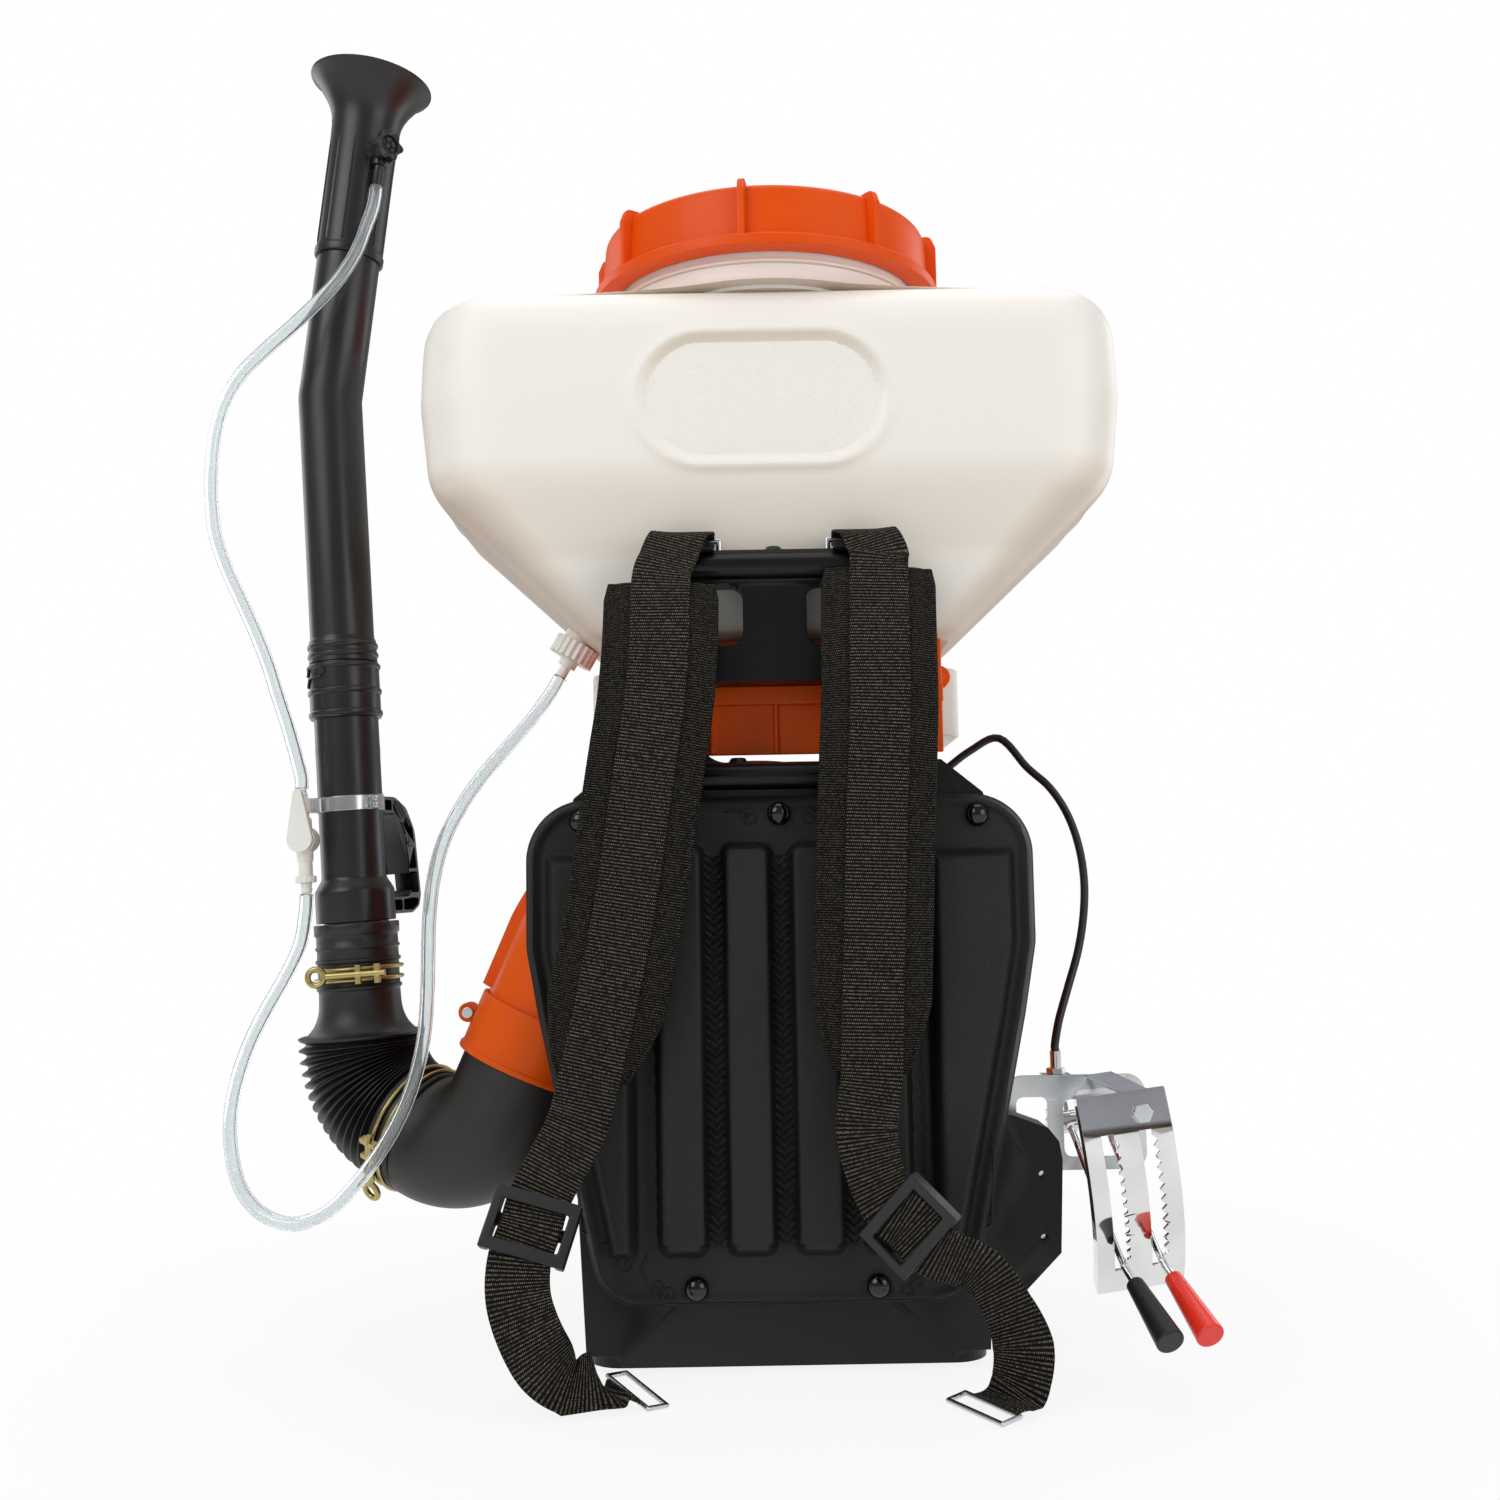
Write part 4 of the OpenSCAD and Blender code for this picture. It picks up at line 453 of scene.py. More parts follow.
def pad_skin():
    """Pad sheet: a fine diagonal weave, with a coarse braid in the three channels between its ribs."""
    m = Nodes("pad_grey", srgb("121210"), 0.52, Specular_IOR_Level=0.35)
    m.gloss(9, 0.45, 0.58)
    x, _, z = m.split("ShaderNodeTexCoord", "Object")
    lines = [m.math("SINE", m.math("MULTIPLY", m.math(op, z, x), 2 * math.pi / 0.0021))
             for op in ("ADD", "SUBTRACT")]
    m.bump(m.math("MAXIMUM", *lines), 0.5, 0.00025)
    off = m.math("ABSOLUTE", m.math("WRAP", x, 0.0225, -0.0225))
    chevron = m.math("SINE", m.math("MULTIPLY", m.math("SUBTRACT", z, off), 2 * math.pi / 0.0055))
    strand = m.math("SINE", m.math("MULTIPLY", m.math("ADD", z, off), 2 * math.pi / 0.0018))
    braid = m.math("ADD", chevron, m.math("MULTIPLY", strand, 0.3))
    in_channel = m.math("LESS_THAN", off, 0.0062)
    in_middle = m.math("LESS_THAN", m.math("ABSOLUTE", x), 0.055)
    in_height = m.math("LESS_THAN", m.math("ABSOLUTE", m.math("SUBTRACT", z, 0.209)), 0.128)
    inside = m.math("MULTIPLY", m.math("MULTIPLY", in_channel, in_middle), in_height)
    m.bump(m.math("MULTIPLY", braid, inside), 0.9, 0.0009)
    tone = m.ramp(m.math("MULTIPLY", m.math("ADD", m.math("MULTIPLY", chevron, 0.5), 0.5), inside),
                  [(0.0, srgb("121210")), (1.0, srgb("2b2b28"))])
    m.link(tone, m.bsdf.inputs["Base Color"])
    return m.mat


def clear_plastic(name, hexcode):
    m = Nodes(name, srgb(hexcode), 0.08, Transmission_Weight=0.92, IOR=1.42)
    m.gloss(30, 0.05, 0.12).grain(120, 0.1, 0.0003)
    return m.mat


M = {
    "frame_black": plastic("frame_black", "050505", 0.28, 0.42, 0.1, 700, 0.0018, Specular_IOR_Level=0.3),
    "pad_grey": pad_skin(),
    "trim_black": plastic("trim_black", "101010", 0.3, 0.45),
    "gloss_black": plastic("gloss_black", "070707", 0.06, 0.12, 0.03),
    "rubber_black": plastic("rubber_black", "141414", 0.5, 0.65),
    "housing_orange": plastic("housing_orange", "e65700", 0.28, 0.4, 0.15, 500, Specular_IOR_Level=0.22),
    "lid_orange": plastic("lid_orange", "e65001", 0.33, 0.46, 0.2, 800, Specular_IOR_Level=0.2),
    "zinc": metal("zinc", "cdd0d2", 0.16, 0.28, grain=0.05, edge=0.0004),
    "chrome_plate": metal("chrome_plate", "dcdddc", 0.03, 0.07, grain=0.02, edge=0.0004),
    "elbow_grey": plastic("elbow_grey", "24211e", 0.4, 0.55),
    "impeller_plastic": plastic("impeller_plastic", "cfcfca", 0.4, 0.5),
    "steel": metal("steel", "a9adb1", 0.2, 0.35, (1, 30, 1)),
    "cast_alloy": metal("cast_alloy", "a3a6a8", 0.45, 0.6, grain=0.5, scale=900),
    "plug_white": plastic("plug_white", "e8e4da", 0.1, 0.2),
    "muffler_steel": metal("muffler_steel", "6d6a66", 0.4, 0.6),
    "guard_black": plastic("guard_black", "161616", 0.3, 0.5),
    "tank_white": tank_skin(),
    "fitting_white": plastic("fitting_white", "f0efe9", 0.3, 0.4),
    "fuel_white": plastic("fuel_white", "e3e0d6", 0.35, 0.45),
    # the second colour of each cloth is its painted rib-top highlight
    "pad_cloth": woven("pad_cloth", "030303", "5d574a", 1.7, 0.8),
    "webbing": woven("webbing", "030303", "7a7261", 2.3, 0.7),
    "grip_black": plastic("grip_black", "141414", 0.4, 0.55),
    "grip_red": plastic("grip_red", "e8321e", 0.2, 0.3),
    "cable_black": plastic("cable_black", "0e0e0e", 0.3, 0.4),
    "bellows_rubber": plastic("bellows_rubber", "1b1b1b", 0.32, 0.5),
    "clamp_yellow": metal("clamp_yellow", "b5a56c", 0.25, 0.4),
    "wand_black": plastic("wand_black", "19191a", 0.26, 0.4),
    "hose_clear": clear_plastic("hose_clear", "eef3f4"),
}

# ---------------------------------------------------------------- camera, light and floor
scene = bpy.context.scene
cam = bpy.data.cameras.new("camera")
cam.sensor_width = 36
cam.lens = 38.4
cam_obj = bpy.data.objects.new("camera", cam)
bpy.context.collection.objects.link(cam_obj)
cam_obj.matrix_world = (
    Matrix.Translation((-0.0187, -1.237, 0.307))
    @ Matrix.Rotation(math.radians(90 + 5.36), 4, "X")
    @ Matrix.Rotation(math.radians(-1.0), 4, "Z")
)
scene.camera = cam_obj
scene.view_settings.view_transform = "Standard"


def area_light(name, place, target, size, power):
    light = bpy.data.lights.new(name, "AREA")
    light.shape = "RECTANGLE"
    light.size, light.size_y = size
    light.energy = power
    obj = bpy.data.objects.new(name, light)
    bpy.context.collection.objects.link(obj)
    obj.location = place
    obj.rotation_euler = (Vector(target) - Vector(place)).to_track_quat("-Z", "Y").to_euler()


area_light("key", (-1.6, -1.9, 1.9), (0, 0, 0.45), (1.6, 1.6), 25)
area_light("fill", (1.9, -1.7, 1.1), (0, 0, 0.45), (1.6, 1.6), 16)
area_light("top", (0, 0.2, 2.4), (0, 0, 0.4), (2.2, 2.2), 22)
area_light("rim_left", (-1.8, 1.2, 0.9), (0, 0, 0.45), (1.0, 1.8), 9)
area_light("rim_right", (1.8, 1.3, 0.9), (0, 0, 0.45), (1.0, 1.8), 9)

world = bpy.data.worlds.new("studio")
scene.world = world
world.use_nodes = True
wt = world.node_tree
bg = wt.nodes["Background"]
path = wt.nodes.new("ShaderNodeLightPath")
seen = wt.nodes.new("ShaderNodeMath")
seen.operation = "MAXIMUM"
wt.links.new(path.outputs["Is Camera Ray"], seen.inputs[0])
wt.links.new(path.outputs["Is Transmission Ray"], seen.inputs[1])
# the room that shiny parts mirror: dark at eye level, a grey ceiling above
place = wt.nodes.new("ShaderNodeTexCoord")
split = wt.nodes.new("ShaderNodeSeparateXYZ")
wt.links.new(place.outputs["Generated"], split.inputs[0])
room = wt.nodes.new("ShaderNodeValToRGB")
stops = ((0.0, (0.5, 0.47, 0.42)), (0.01, (0.04, 0.03, 0.02)), (0.035, (0.08, 0.06, 0.05)),
         (0.075, (0.36, 0.36, 0.4)), (1.0, (0.3, 0.3, 0.32)))
while len(room.color_ramp.elements) < len(stops):
    room.color_ramp.elements.new(0.5)
for element, (at, color) in zip(room.color_ramp.elements, stops):
    element.position = at
    element.color = (*color, 1)
wt.links.new(split.outputs["Z"], room.inputs["Fac"])
mirrored = wt.nodes.new("ShaderNodeMix")
mirrored.data_type = "RGBA"
mirrored.inputs["A"].default_value = (0.42, 0.42, 0.42, 1)
wt.links.new(path.outputs["Is Glossy Ray"], mirrored.inputs["Factor"])
wt.links.new(room.outputs["Color"], mirrored.inputs["B"])
white = wt.nodes.new("ShaderNodeMix")
white.data_type = "RGBA"
white.inputs["B"].default_value = (1, 1, 1, 1)
wt.links.new(seen.outputs[0], white.inputs["Factor"])
wt.links.new(mirrored.outputs["Result"], white.inputs["A"])
wt.links.new(white.outputs["Result"], bg.inputs["Color"])
bg.inputs["Strength"].default_value = 1.0

GROUND = -0.0045  # the lowest edge of the strap rings
corners = [(x, y, GROUND) for x, y in ((-4, -4), (4, -4), (4, 4), (-4, 4))]
floor = mesh_object("floor", corners, [(0, 1, 2, 3)], smooth=False)
fm = Nodes("floor_white", (0.86, 0.86, 0.86), 0.6)
lp = fm.add("ShaderNodeLightPath")
em = fm.add("ShaderNodeEmission")
em.inputs["Color"].default_value = (1, 1, 1, 1)
em.inputs["Strength"].default_value = 1.0
mix = fm.add("ShaderNodeMixShader")
place = fm.add("ShaderNodeTexCoord")
reach = fm.add("ShaderNodeVectorMath", operation="LENGTH")
fm.link(place.outputs["Object"], reach.inputs[0])
fade = fm.add("ShaderNodeMapRange")
for key, value in (("From Min", 0.35), ("From Max", 0.9), ("To Min", 0.87), ("To Max", 1.0)):
    fade.inputs[key].default_value = value
fm.link(reach.outputs["Value"], fade.inputs["Value"])
half = fm.math("MULTIPLY", fm.math("MAXIMUM", lp.outputs["Is Camera Ray"], lp.outputs["Is Glossy Ray"]),
               fade.outputs["Result"])
fm.link(half, mix.inputs[0])
fm.link(fm.bsdf.outputs[0], mix.inputs[1])
fm.link(em.outputs[0], mix.inputs[2])
fm.link(mix.outputs[0], fm.tree.nodes["Material Output"].inputs["Surface"])
floor.data.materials.append(fm.mat)

# ---------------------------------------------------------------- cords
HOSE_UPPER = [
    (-301, -41.2, 863.5), (-303, -42, 848), (-308, -44, 831), (-315, -48, 808), (-327, -53, 785),
    (-342, -58, 765), (-360, -62, 745), (-379, -65, 726), (-397, -67, 706), (-409, -68, 683),
    (-415, -68, 659), (-417, -68, 634), (-417, -67, 609), (-414, -66, 584), (-406, -65, 560),
    (-396, -63, 537), (-386, -61, 514), (-377, -58, 490), (-370, -55, 466), (-363, -50, 441),
    (-358, -45, 419), (-355.2, -42, 405), (-354.8, -42, 396),
]
HOSE_LOWER = [
    (-350.4, -42, 317), (-351, -43, 302), (-354, -46, 280), (-363, -52, 257), (-374, -58, 235),
    (-384, -64, 212), (-391, -70, 187), (-394, -76, 161), (-391, -82, 135), (-382, -88, 111),
    (-365, -93, 94), (-341, -98, 88), (-317, -101, 97), (-297, -104, 116), (-280, -106, 138),
    (-266, -107, 162), (-256, -107, 188), (-250, -106, 215), (-248, -104, 243), (-248, -101, 271),
    (-248, -97, 299), (-246, -91, 327), (-240, -84, 354), (-229, -75, 379), (-215, -65, 402),
    (-198, -55, 424), (-181, -46, 446), (-168, -41, 465), (-161, -40, 477),
]
CABLE = [
    (196, -76, 196), (196, -76, 201), (200, -74, 218), (209, -66, 241), (219, -56, 266), (226, -46, 292),
    (229, -38, 318), (227, -32, 344), (220, -28, 368), (208, -26, 388), (192, -22, 404),
    (172, -18, 427), (150, -12, 418), (128, -8, 402), (104, -6, 388), (80, -6, 380),
    (50, -6, 378), (20, -8, 376), (-10, -9, 374), (-40, -8, 370), (-58, 0, 360),
    (-66, 10, 346), (-68, 14, 337),
]


def spline_points(points, per=6):
    """A smooth line through points, in metres."""
    p = [Vector(q) * MM for q in points]
    p = [p[0] * 2 - p[1]] + p + [p[-1] * 2 - p[-2]]
    out = []
    for i in range(1, len(p) - 2):
        for k in range(per):
            t = k / per
            a, b, c, d = p[i - 1 : i + 3]
            square, cube = 2 * a - 5 * b + 4 * c - d, 3 * b - a - 3 * c + d
            out.append(0.5 * (2 * b + (c - a) * t + square * t * t + cube * t ** 3))
    out.append(p[-2])
    return out


def tube_mesh(name, line, radius, bore=0.0, sides=20):
    """A round cord along a line in metres, hollow if it has a bore."""
    line = [p / MM for p in line]
    rings = tube_rings(line, radius / MM, sides)
    if bore:
        rings += tube_rings(line, bore / MM, sides)[::-1]
    return Shape().rings(rings, loop=bool(bore)).make(name)


for name, node, route, dia, bore, slot_name in (
    ("clear_hose_upper", "hose_upper", HOSE_UPPER, 0.010, 0.0032, "hose_clear"),
    ("clear_hose_lower", "hose_lower", HOSE_LOWER, 0.010, 0.0032, "hose_clear"),
    ("cable_sheath", "throttle_cable", CABLE, 0.006, 0, "cable_black"),
):
    line = spline_points(route)
    obj = tube_mesh(name, line, dia / 2, bore)
    if node == "throttle_cable":
        finish_piece(obj, "pack", slot_name, node)
    else:
        # the hoses take their look and hide their CAD nodes, and are hung on no body
        obj.data.materials.append(M[slot_name])
        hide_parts(node)
        if node == "hose_upper":
            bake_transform(obj)
        else:
            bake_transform(obj)

# ---------------------------------------------------------------- tank and lid
TANK_Z0, TANK_Z1 = 490, 749
NECK_R, NECK_TOP = 119, 799
# height above the tank's bottom, half width, front, back, corner radius
TANK_LEVELS = [
    (0, 125, -108, 44, 20), (5, 134, -115, 52, 26), (62, 193.7, -119.4, 89.5, 37), (110, 244, -129, 121, 46),
    (124, 251, -131, 127, 50), (182, 258, -131, 131, 54), (228, 256, -130, 130, 54), (246, 250, -124, 124, 50),
    (256, 240, -114, 114, 44), (259, 230, -104, 104, 38),
]
RECESS = (-5.5, 663, 87.5, 46)  # middle x and z, half length, radius


def tank_profile(step=1.0, blur=5.0, every=3):
    """The tank's levels along its side, with their corners rounded off."""
    p = np.array(TANK_LEVELS, float)
    run = np.concatenate([[0], np.cumsum(np.hypot(np.diff(p[:, 0]), np.diff(p[:, 1])))])
    s = np.arange(0, run[-1] + step, step)
    fine = np.stack([np.interp(s, run, p[:, i]) for i in range(5)], 1)
    reach = int(3 * blur)
    k = np.exp(-0.5 * (np.arange(-reach, reach + 1) / blur) ** 2)
    k /= k.sum()
    first, last = fine[1] - fine[0], fine[-1] - fine[-2]
    pad = np.arange(reach, 0, -1)[:, None]
    wide = np.concatenate([fine[0] - pad * first, fine, fine[-1] + pad[::-1] * last])
    smooth = np.stack([np.convolve(wide[:, i], k, "valid") for i in range(5)], 1)
    return [tuple(q) for q in smooth[::every]] + [tuple(fine[-1])]


def tank_ring(level, cut=0.0, front=96, back=40, side=(0, 0.2, 0.4, 0.485, 0.5, 0.515, 0.6, 0.8), corner=10):
    """Points round the tank at one level, from the front's left end."""
    z, w, y0, y1, r = level
    w, y0, y1, r = w - cut, y0 + cut, y1 - cut, r - cut
    z += TANK_Z0
    pts = []
    x = w - r
    pts += [(-x + 2 * x * k / front, y0, z) for k in range(front)]
    arc = [k / corner for k in range(corner)]
    pts += [(x + r * sind(90 * t), y0 + r - r * cosd(90 * t), z) for t in arc]
    depth = y1 - y0 - 2 * r
    seams = [(t, 0 if cut else 1.3 if t == 0.5 else 0.2 if 0.48 < t < 0.52 else 0) for t in side]
    pts += [(w + seam, y0 + r + depth * t, z) for t, seam in seams]
    pts += [(x + r * cosd(90 * t), y1 - r + r * sind(90 * t), z) for t in arc]
    pts += [(x - 2 * x * k / back, y1, z) for k in range(back)]
    pts += [(-x - r * sind(90 * t), y1 - r + r * cosd(90 * t), z) for t in arc]
    pts += [(-w - seam, y1 - r - depth * t, z) for t, seam in seams]
    pts += [(-x - r * cosd(90 * t), y0 + r - r * sind(90 * t), z) for t in arc]
    return pts


def recess_push(x, z):
    """How far the front wall goes in at the stadium-shaped recess, with its soft raised edge."""
    cx, cz, half, r = RECESS
    d = math.hypot(max(abs(x - cx) - (half - r), 0), z - cz) - r
    inside = min(1, max(0, (1.0 - d) / 7))
    return 3.4 * inside * inside * (3 - 2 * inside) - 1.5 * math.exp(-(((d - 3.5) / 3.2) ** 2))


def round_ring(ring, radius, z, t=1.0):
    """A ring drawn towards the circle of the neck by t."""
    top = TANK_LEVELS[-1]
    out = []
    for x, y, _ in ring:
        a = math.atan2(y / top[3], x / top[1])
        out.append((x + (radius * math.cos(a) - x) * t, y + (radius * math.sin(a) - y) * t, z))
    return out


tank = Shape()
levels = tank_profile()
skin = []
for level in levels:
    ring = tank_ring(level)
    skin.append([(x, y + (recess_push(x, z) if k < 96 else 0), z) for k, (x, y, z) in enumerate(ring)])
brow = tank_ring(TANK_LEVELS[-1])
for t, rise in ((0.25, 1.2), (0.5, 1.8), (0.75, 1.8)):
    skin.append(round_ring(brow, NECK_R + 8, TANK_Z1 + rise, t))
for r, z in ((8, 1.6), (5, 2.2), (2.4, 4), (0.8, 7), (0, 11), (0, 16), (1.4, 17), (1.4, 19), (0, 20),
             (0, 48.6)):
    skin.append(round_ring(brow, NECK_R + r - (0.6 if z > 30 else 0), TANK_Z1 + z))
skin += [round_ring(brow, NECK_R - 1.4, NECK_TOP), round_ring(brow, NECK_R - 4, NECK_TOP - 0.4),
         round_ring(brow, NECK_R - 4.4, NECK_TOP - 2), round_ring(brow, NECK_R - 4.4, TANK_Z1 - 1)]
inner = tank_ring(TANK_LEVELS[-1], 3)
skin.append([(x, y, TANK_Z1 - 3) for x, y, _ in round_ring(inner, NECK_R, 0, 0.3)])
for level in levels[::-6]:
    z = min(max(level[0], 3), 256)
    skin.append(tank_ring((z, *level[1:]), 3))
tank.rings(skin)
nut_place = shift(-146, -40, 503) @ turn("Y", 210)
tank.revolve([(0, -16), (13, -16), (13, 3.6), (12.4, 4.4), (0, 4.4)], 40, nut_place, loop=False)
finish_piece(soften(tank.make("tank_body"), 50), "pack", "tank_white", "chemical_tank")

LID_Z0, LID_TOP, LID_R = 773, 822, 136
lid = Shape()
lid.revolve(fillet([
    (120.5, LID_Z0, 0.6), (LID_R, LID_Z0, 1.2), (LID_R, LID_Z0 + 8, 2), (128.6, LID_Z0 + 10.5, 2.5),
    (127.2, LID_TOP - 12, 0.6), (126.4, LID_TOP, 6), (114, LID_TOP, 1.5), (112, LID_TOP - 2.2, 1.5),
    (66, LID_TOP - 2.2, 1.5), (63, LID_TOP + 0.2, 2), (20, LID_TOP + 0.2, 1), (14, LID_TOP - 1.2, 1),
    (0.01, LID_TOP - 1.2, 0), (0.01, LID_TOP - 4, 0), (105, LID_TOP - 4, 0.6), (105, 802, 0.6),
    (120.5, 802, 0.6),
], 5), 192)
rib_side = fillet([(118, LID_Z0 + 9, 0), (135.6, LID_Z0 + 6, 0.8), (135.6, LID_TOP - 7, 4),
                   (131.5, LID_TOP + 2.6, 5), (118, LID_TOP + 2.6, 4)], 5)
for i in range(8):
    place = turn("Z", -98 + 45 * i)
    rings = []
    for y, inset in ((-2.7, 0.9), (-2.4, 0.25), (-1.7, 0), (1.7, 0), (2.4, 0.25), (2.7, 0.9)):
        rings.append([(x - inset if x > 126 else x + inset, y, z - inset if z > 800 else z)
                      for x, z in rib_side])
    lid.rings(rings, place)
finish_piece(soften(lid.make("lid_cap"), 40), "lid", "lid_orange", "tank_lid")

# ---------------------------------------------------------------- back pad
PLATE = -145
PAD_CORNERS = [(130, 335, 42), (127, 280, 45), (118, 150, 28), (96, 74, 34)]
PAD_TOP, PAD_BOTTOM = 377, 40
RIB_X = (-67.5, -22.5, 22.5, 67.5)
RIVETS = [(-134, 362), (0, 365), (134, 362), (-60, 53), (60, 53)]
pad_dirs = np.radians(np.arange(0, 360, 2.0))
pad_reach = np.array([
    max(abs(c[0]) * abs(math.cos(a)) + c[1] * math.sin(a) + c[2] for c in PAD_CORNERS) for a in pad_dirs
])


def pad_inside(x, z):
    """Distance to the pad's edge, positive inside."""
    d = pad_reach[:, None] - (np.cos(pad_dirs)[:, None] * x[None] + np.sin(pad_dirs)[:, None] * z[None])
    return d.min(axis=0)


def box_inside(x, z, half_w, half_h, r):
    qx, qz = np.abs(x) - half_w + r, np.abs(z) - half_h + r
    return r - np.hypot(np.maximum(qx, 0), np.maximum(qz, 0)) - np.minimum(np.maximum(qx, qz), 0)


def pad_height(x, z):
    """How far the pad's face stands off the plate."""
    d = pad_inside(x, z)
    h = 10 - 6 * (1 - ease(d / 5)) + 3.2 * np.exp(-(((d - 5.5) / 3.4) ** 2))
    rise = np.zeros_like(x)
    for cx in RIB_X:
        inside = box_inside(x - cx, z - 209, 18, 137, 9)
        slope = np.where(z < 84, 10.0, 5.5)
        rise = np.maximum(rise, 14 * ease(inside / slope) ** 0.8)
    for m in (-1, 1):
        # the two outer ribs follow the pad's sides
        u = m * x
        left = u - 97
        right = d - 13
        top = 340 - z
        bottom = z - 72
        inside = np.minimum(np.minimum(left, right), np.minimum(top, bottom))
        inside = np.where((left > 0) & (right > 0) & (top > 0) & (bottom > 0), inside, -1)
        rise = np.maximum(rise, 12 * ease(inside / 9) ** 0.8)
    # channels between the ribs, lower than the pad's rim
    groove = (np.abs(x) < 92) & (z > 80) & (z < 338) & (rise < 1)
    return h + rise - 0.8 * groove


rows = np.concatenate([[PAD_BOTTOM, 40.5, 41.5, 43], np.arange(45, 373, 1.7), [373.5, 375.5, 376.5, PAD_TOP]])
cols = np.concatenate([[-1, -0.996, -0.99, -0.98], np.linspace(-0.968, 0.968, 196), [0.98, 0.99, 0.996, 1]])
grid_x, grid_z = [], []
for z in rows:
    with_cos = np.cos(pad_dirs) > 0.02
    w = np.min((pad_reach[with_cos] - z * np.sin(pad_dirs[with_cos])) / np.cos(pad_dirs[with_cos]))
    grid_x.append(cols * w)
    grid_z.append(np.full(len(cols), z))
grid_x, grid_z = np.concatenate(grid_x), np.concatenate(grid_z)
height = np.concatenate([pad_height(x, z) for x, z in
                         zip(np.array_split(grid_x, 20), np.array_split(grid_z, 20))])
n = len(cols)
m = len(rows)
verts = [(x, PLATE - h, z) for x, z, h in zip(grid_x, grid_z, height)]
faces = [(i * n + k, i * n + k + 1, (i + 1) * n + k + 1, (i + 1) * n + k)
         for i in range(m - 1) for k in range(n - 1)]
rim = list(range(n)) + [i * n + n - 1 for i in range(1, m)] + [(m - 1) * n + k for k in range(n - 2, -1, -1)]
rim += [i * n for i in range(m - 2, 0, -1)]
back = [len(verts) + k for k in range(len(rim))]
verts += [(verts[i][0], PLATE, verts[i][2]) for i in rim]
faces += [(rim[k], rim[(k + 1) % len(rim)], back[(k + 1) % len(rim)], back[k]) for k in range(len(rim))]
faces.append(tuple(back))
pad = mesh_object("back_cushion", [Vector(p) * MM for p in verts], faces)
soften(pad, 60, weighted=False)
finish_piece(pad, "pack", "pad_grey", "back_pad")


def curl(cx, cz, size, start, way, tail):
    """A line that runs along tail points and rolls up into a small scroll at cx, cz."""
    pts = list(tail)
    for k in range(26):
        a = math.radians(start + way * k * 19)
        r = size * (1 - 0.8 * k / 25)
        pts.append((cx + r * math.cos(a), cz + r * math.sin(a)))
    return pts


def on_pad(points, lift=0.0):
    x = np.array([p[0] for p in points], float)
    z = np.array([p[1] for p in points], float)
    return [(a, PLATE - h - lift, b) for a, b, h in zip(x, z, pad_height(x, z))]


scrolls = Shape()
for m in (-1, 1):
    lines = [
        curl(m * 19, 363, 6.5, 90, -m, [(m * t, 369.5) for t in range(104, 18, -4)]),
        curl(m * 24, 364, 2.6, 90, m, [(m * t, 366.6) for t in range(38, 24, -3)]),
        curl(m * 108, 70, 7, 60, m, [(m * (138 - 0.03 * t), 150 - t) for t in range(0, 66, 6)]),
        curl(m * 86, 55, 5, 200, -m, [(m * (92 + 0.5 * t), 76 - 1.1 * t) for t in range(0, 12, 3)]),
        curl(m * 78, 49, 6, 240, m, [(m * (20 + t), 43.6) for t in range(0, 56, 4)]),
    ]
    for line in lines:
        scrolls.tube(on_pad(line, 0.1), 0.75, 8)
finish_piece(soften(scrolls.make("pad_scrolls"), 60, False), "pack", "pad_grey")

rivets = Shape()
for x, z in RIVETS:
    place = shift(x, PLATE - 10, z) @ turn("X", 90)
    dome = [(0, 7.4), (3, 7.0), (6, 5.3), (7.6, 3.4), (8, 2.0), (8, 0.5), (0, 0.5)]
    rivets.revolve(dome, 40, place, loop=False)
finish_piece(soften(rivets.make("rivet_heads"), 60, False), "pack", "trim_black", "pad_rivets",
             look="gloss_black")

# ---------------------------------------------------------------- straps
BOW_Y, BOW_Z = -132.5, 558
LOOP_R = 3.8
WEB_W, WEB_T = 40, 2.4
PAD_W, PAD_T = 78, 12
LEFT_WEBBING = [
    (-77, -170, 524), (-78, -183, 480), (-81, -191, 440), (-86, -195, 406), (-91, -196, 373),
    (-101, -196, 308), (-114, -195, 244), (-126, -192, 194), (-135, -193, 163), (-154.8, -206, 125.6),
    (-161, -214, 106), (-167.2, -222, 86.4), (-166, -228, 62), (-154, -231, 34), (-138, -228, 14),
    (-120, -218, 3), (-104, -206, 2),
]
RIGHT_WEBBING = [
    (71, -167, 533), (69, -183, 480), (68, -191, 440), (66, -195, 406), (64, -196, 373),
    (61, -196, 308), (58, -195, 244), (56, -192, 194), (52, -194, 155), (61, -207, 118),
    (76, -213, 103), (91, -219, 88), (118, -220, 76), (134, -223, 55), (142, -227, 33),
    (140, -230, 14), (134, -232, 4), (122, -240, 2),
]
ACROSS = (1, 0, 0)
LEFT_SIDES = [ACROSS] * 12 + [(0.9, 0.2, 0.1)] * 2 + [(0.6, 0.75, 0)] * 3
RIGHT_SIDES = ([ACROSS] * 8 + [(0.9, -0.2, 0.2)] + [(0.6, -0.4, 0.6)] * 3
               + [(0.3, -0.5, 0.7), (0.6, -0.6, 0.4), (0.85, -0.45, 0.1)] + [(0.8, -0.6, 0)] * 3)


def loop_points(x):
    out = 1 if x > 0 else -1
    pts = [(x, BOW_Y - 20, BOW_Z - 11), (x, BOW_Y - 9, BOW_Z - LOOP_R)]
    pts += [(x, BOW_Y + LOOP_R * cosd(a), BOW_Z + LOOP_R * sind(a)) for a in range(270, 451, 30)]
    return pts + [(x, BOW_Y - 9, BOW_Z + LOOP_R), (x + 5 * out, BOW_Y - 21, BOW_Z - 1),
                  (x + 11 * out, BOW_Y - 29, BOW_Z - 16)]


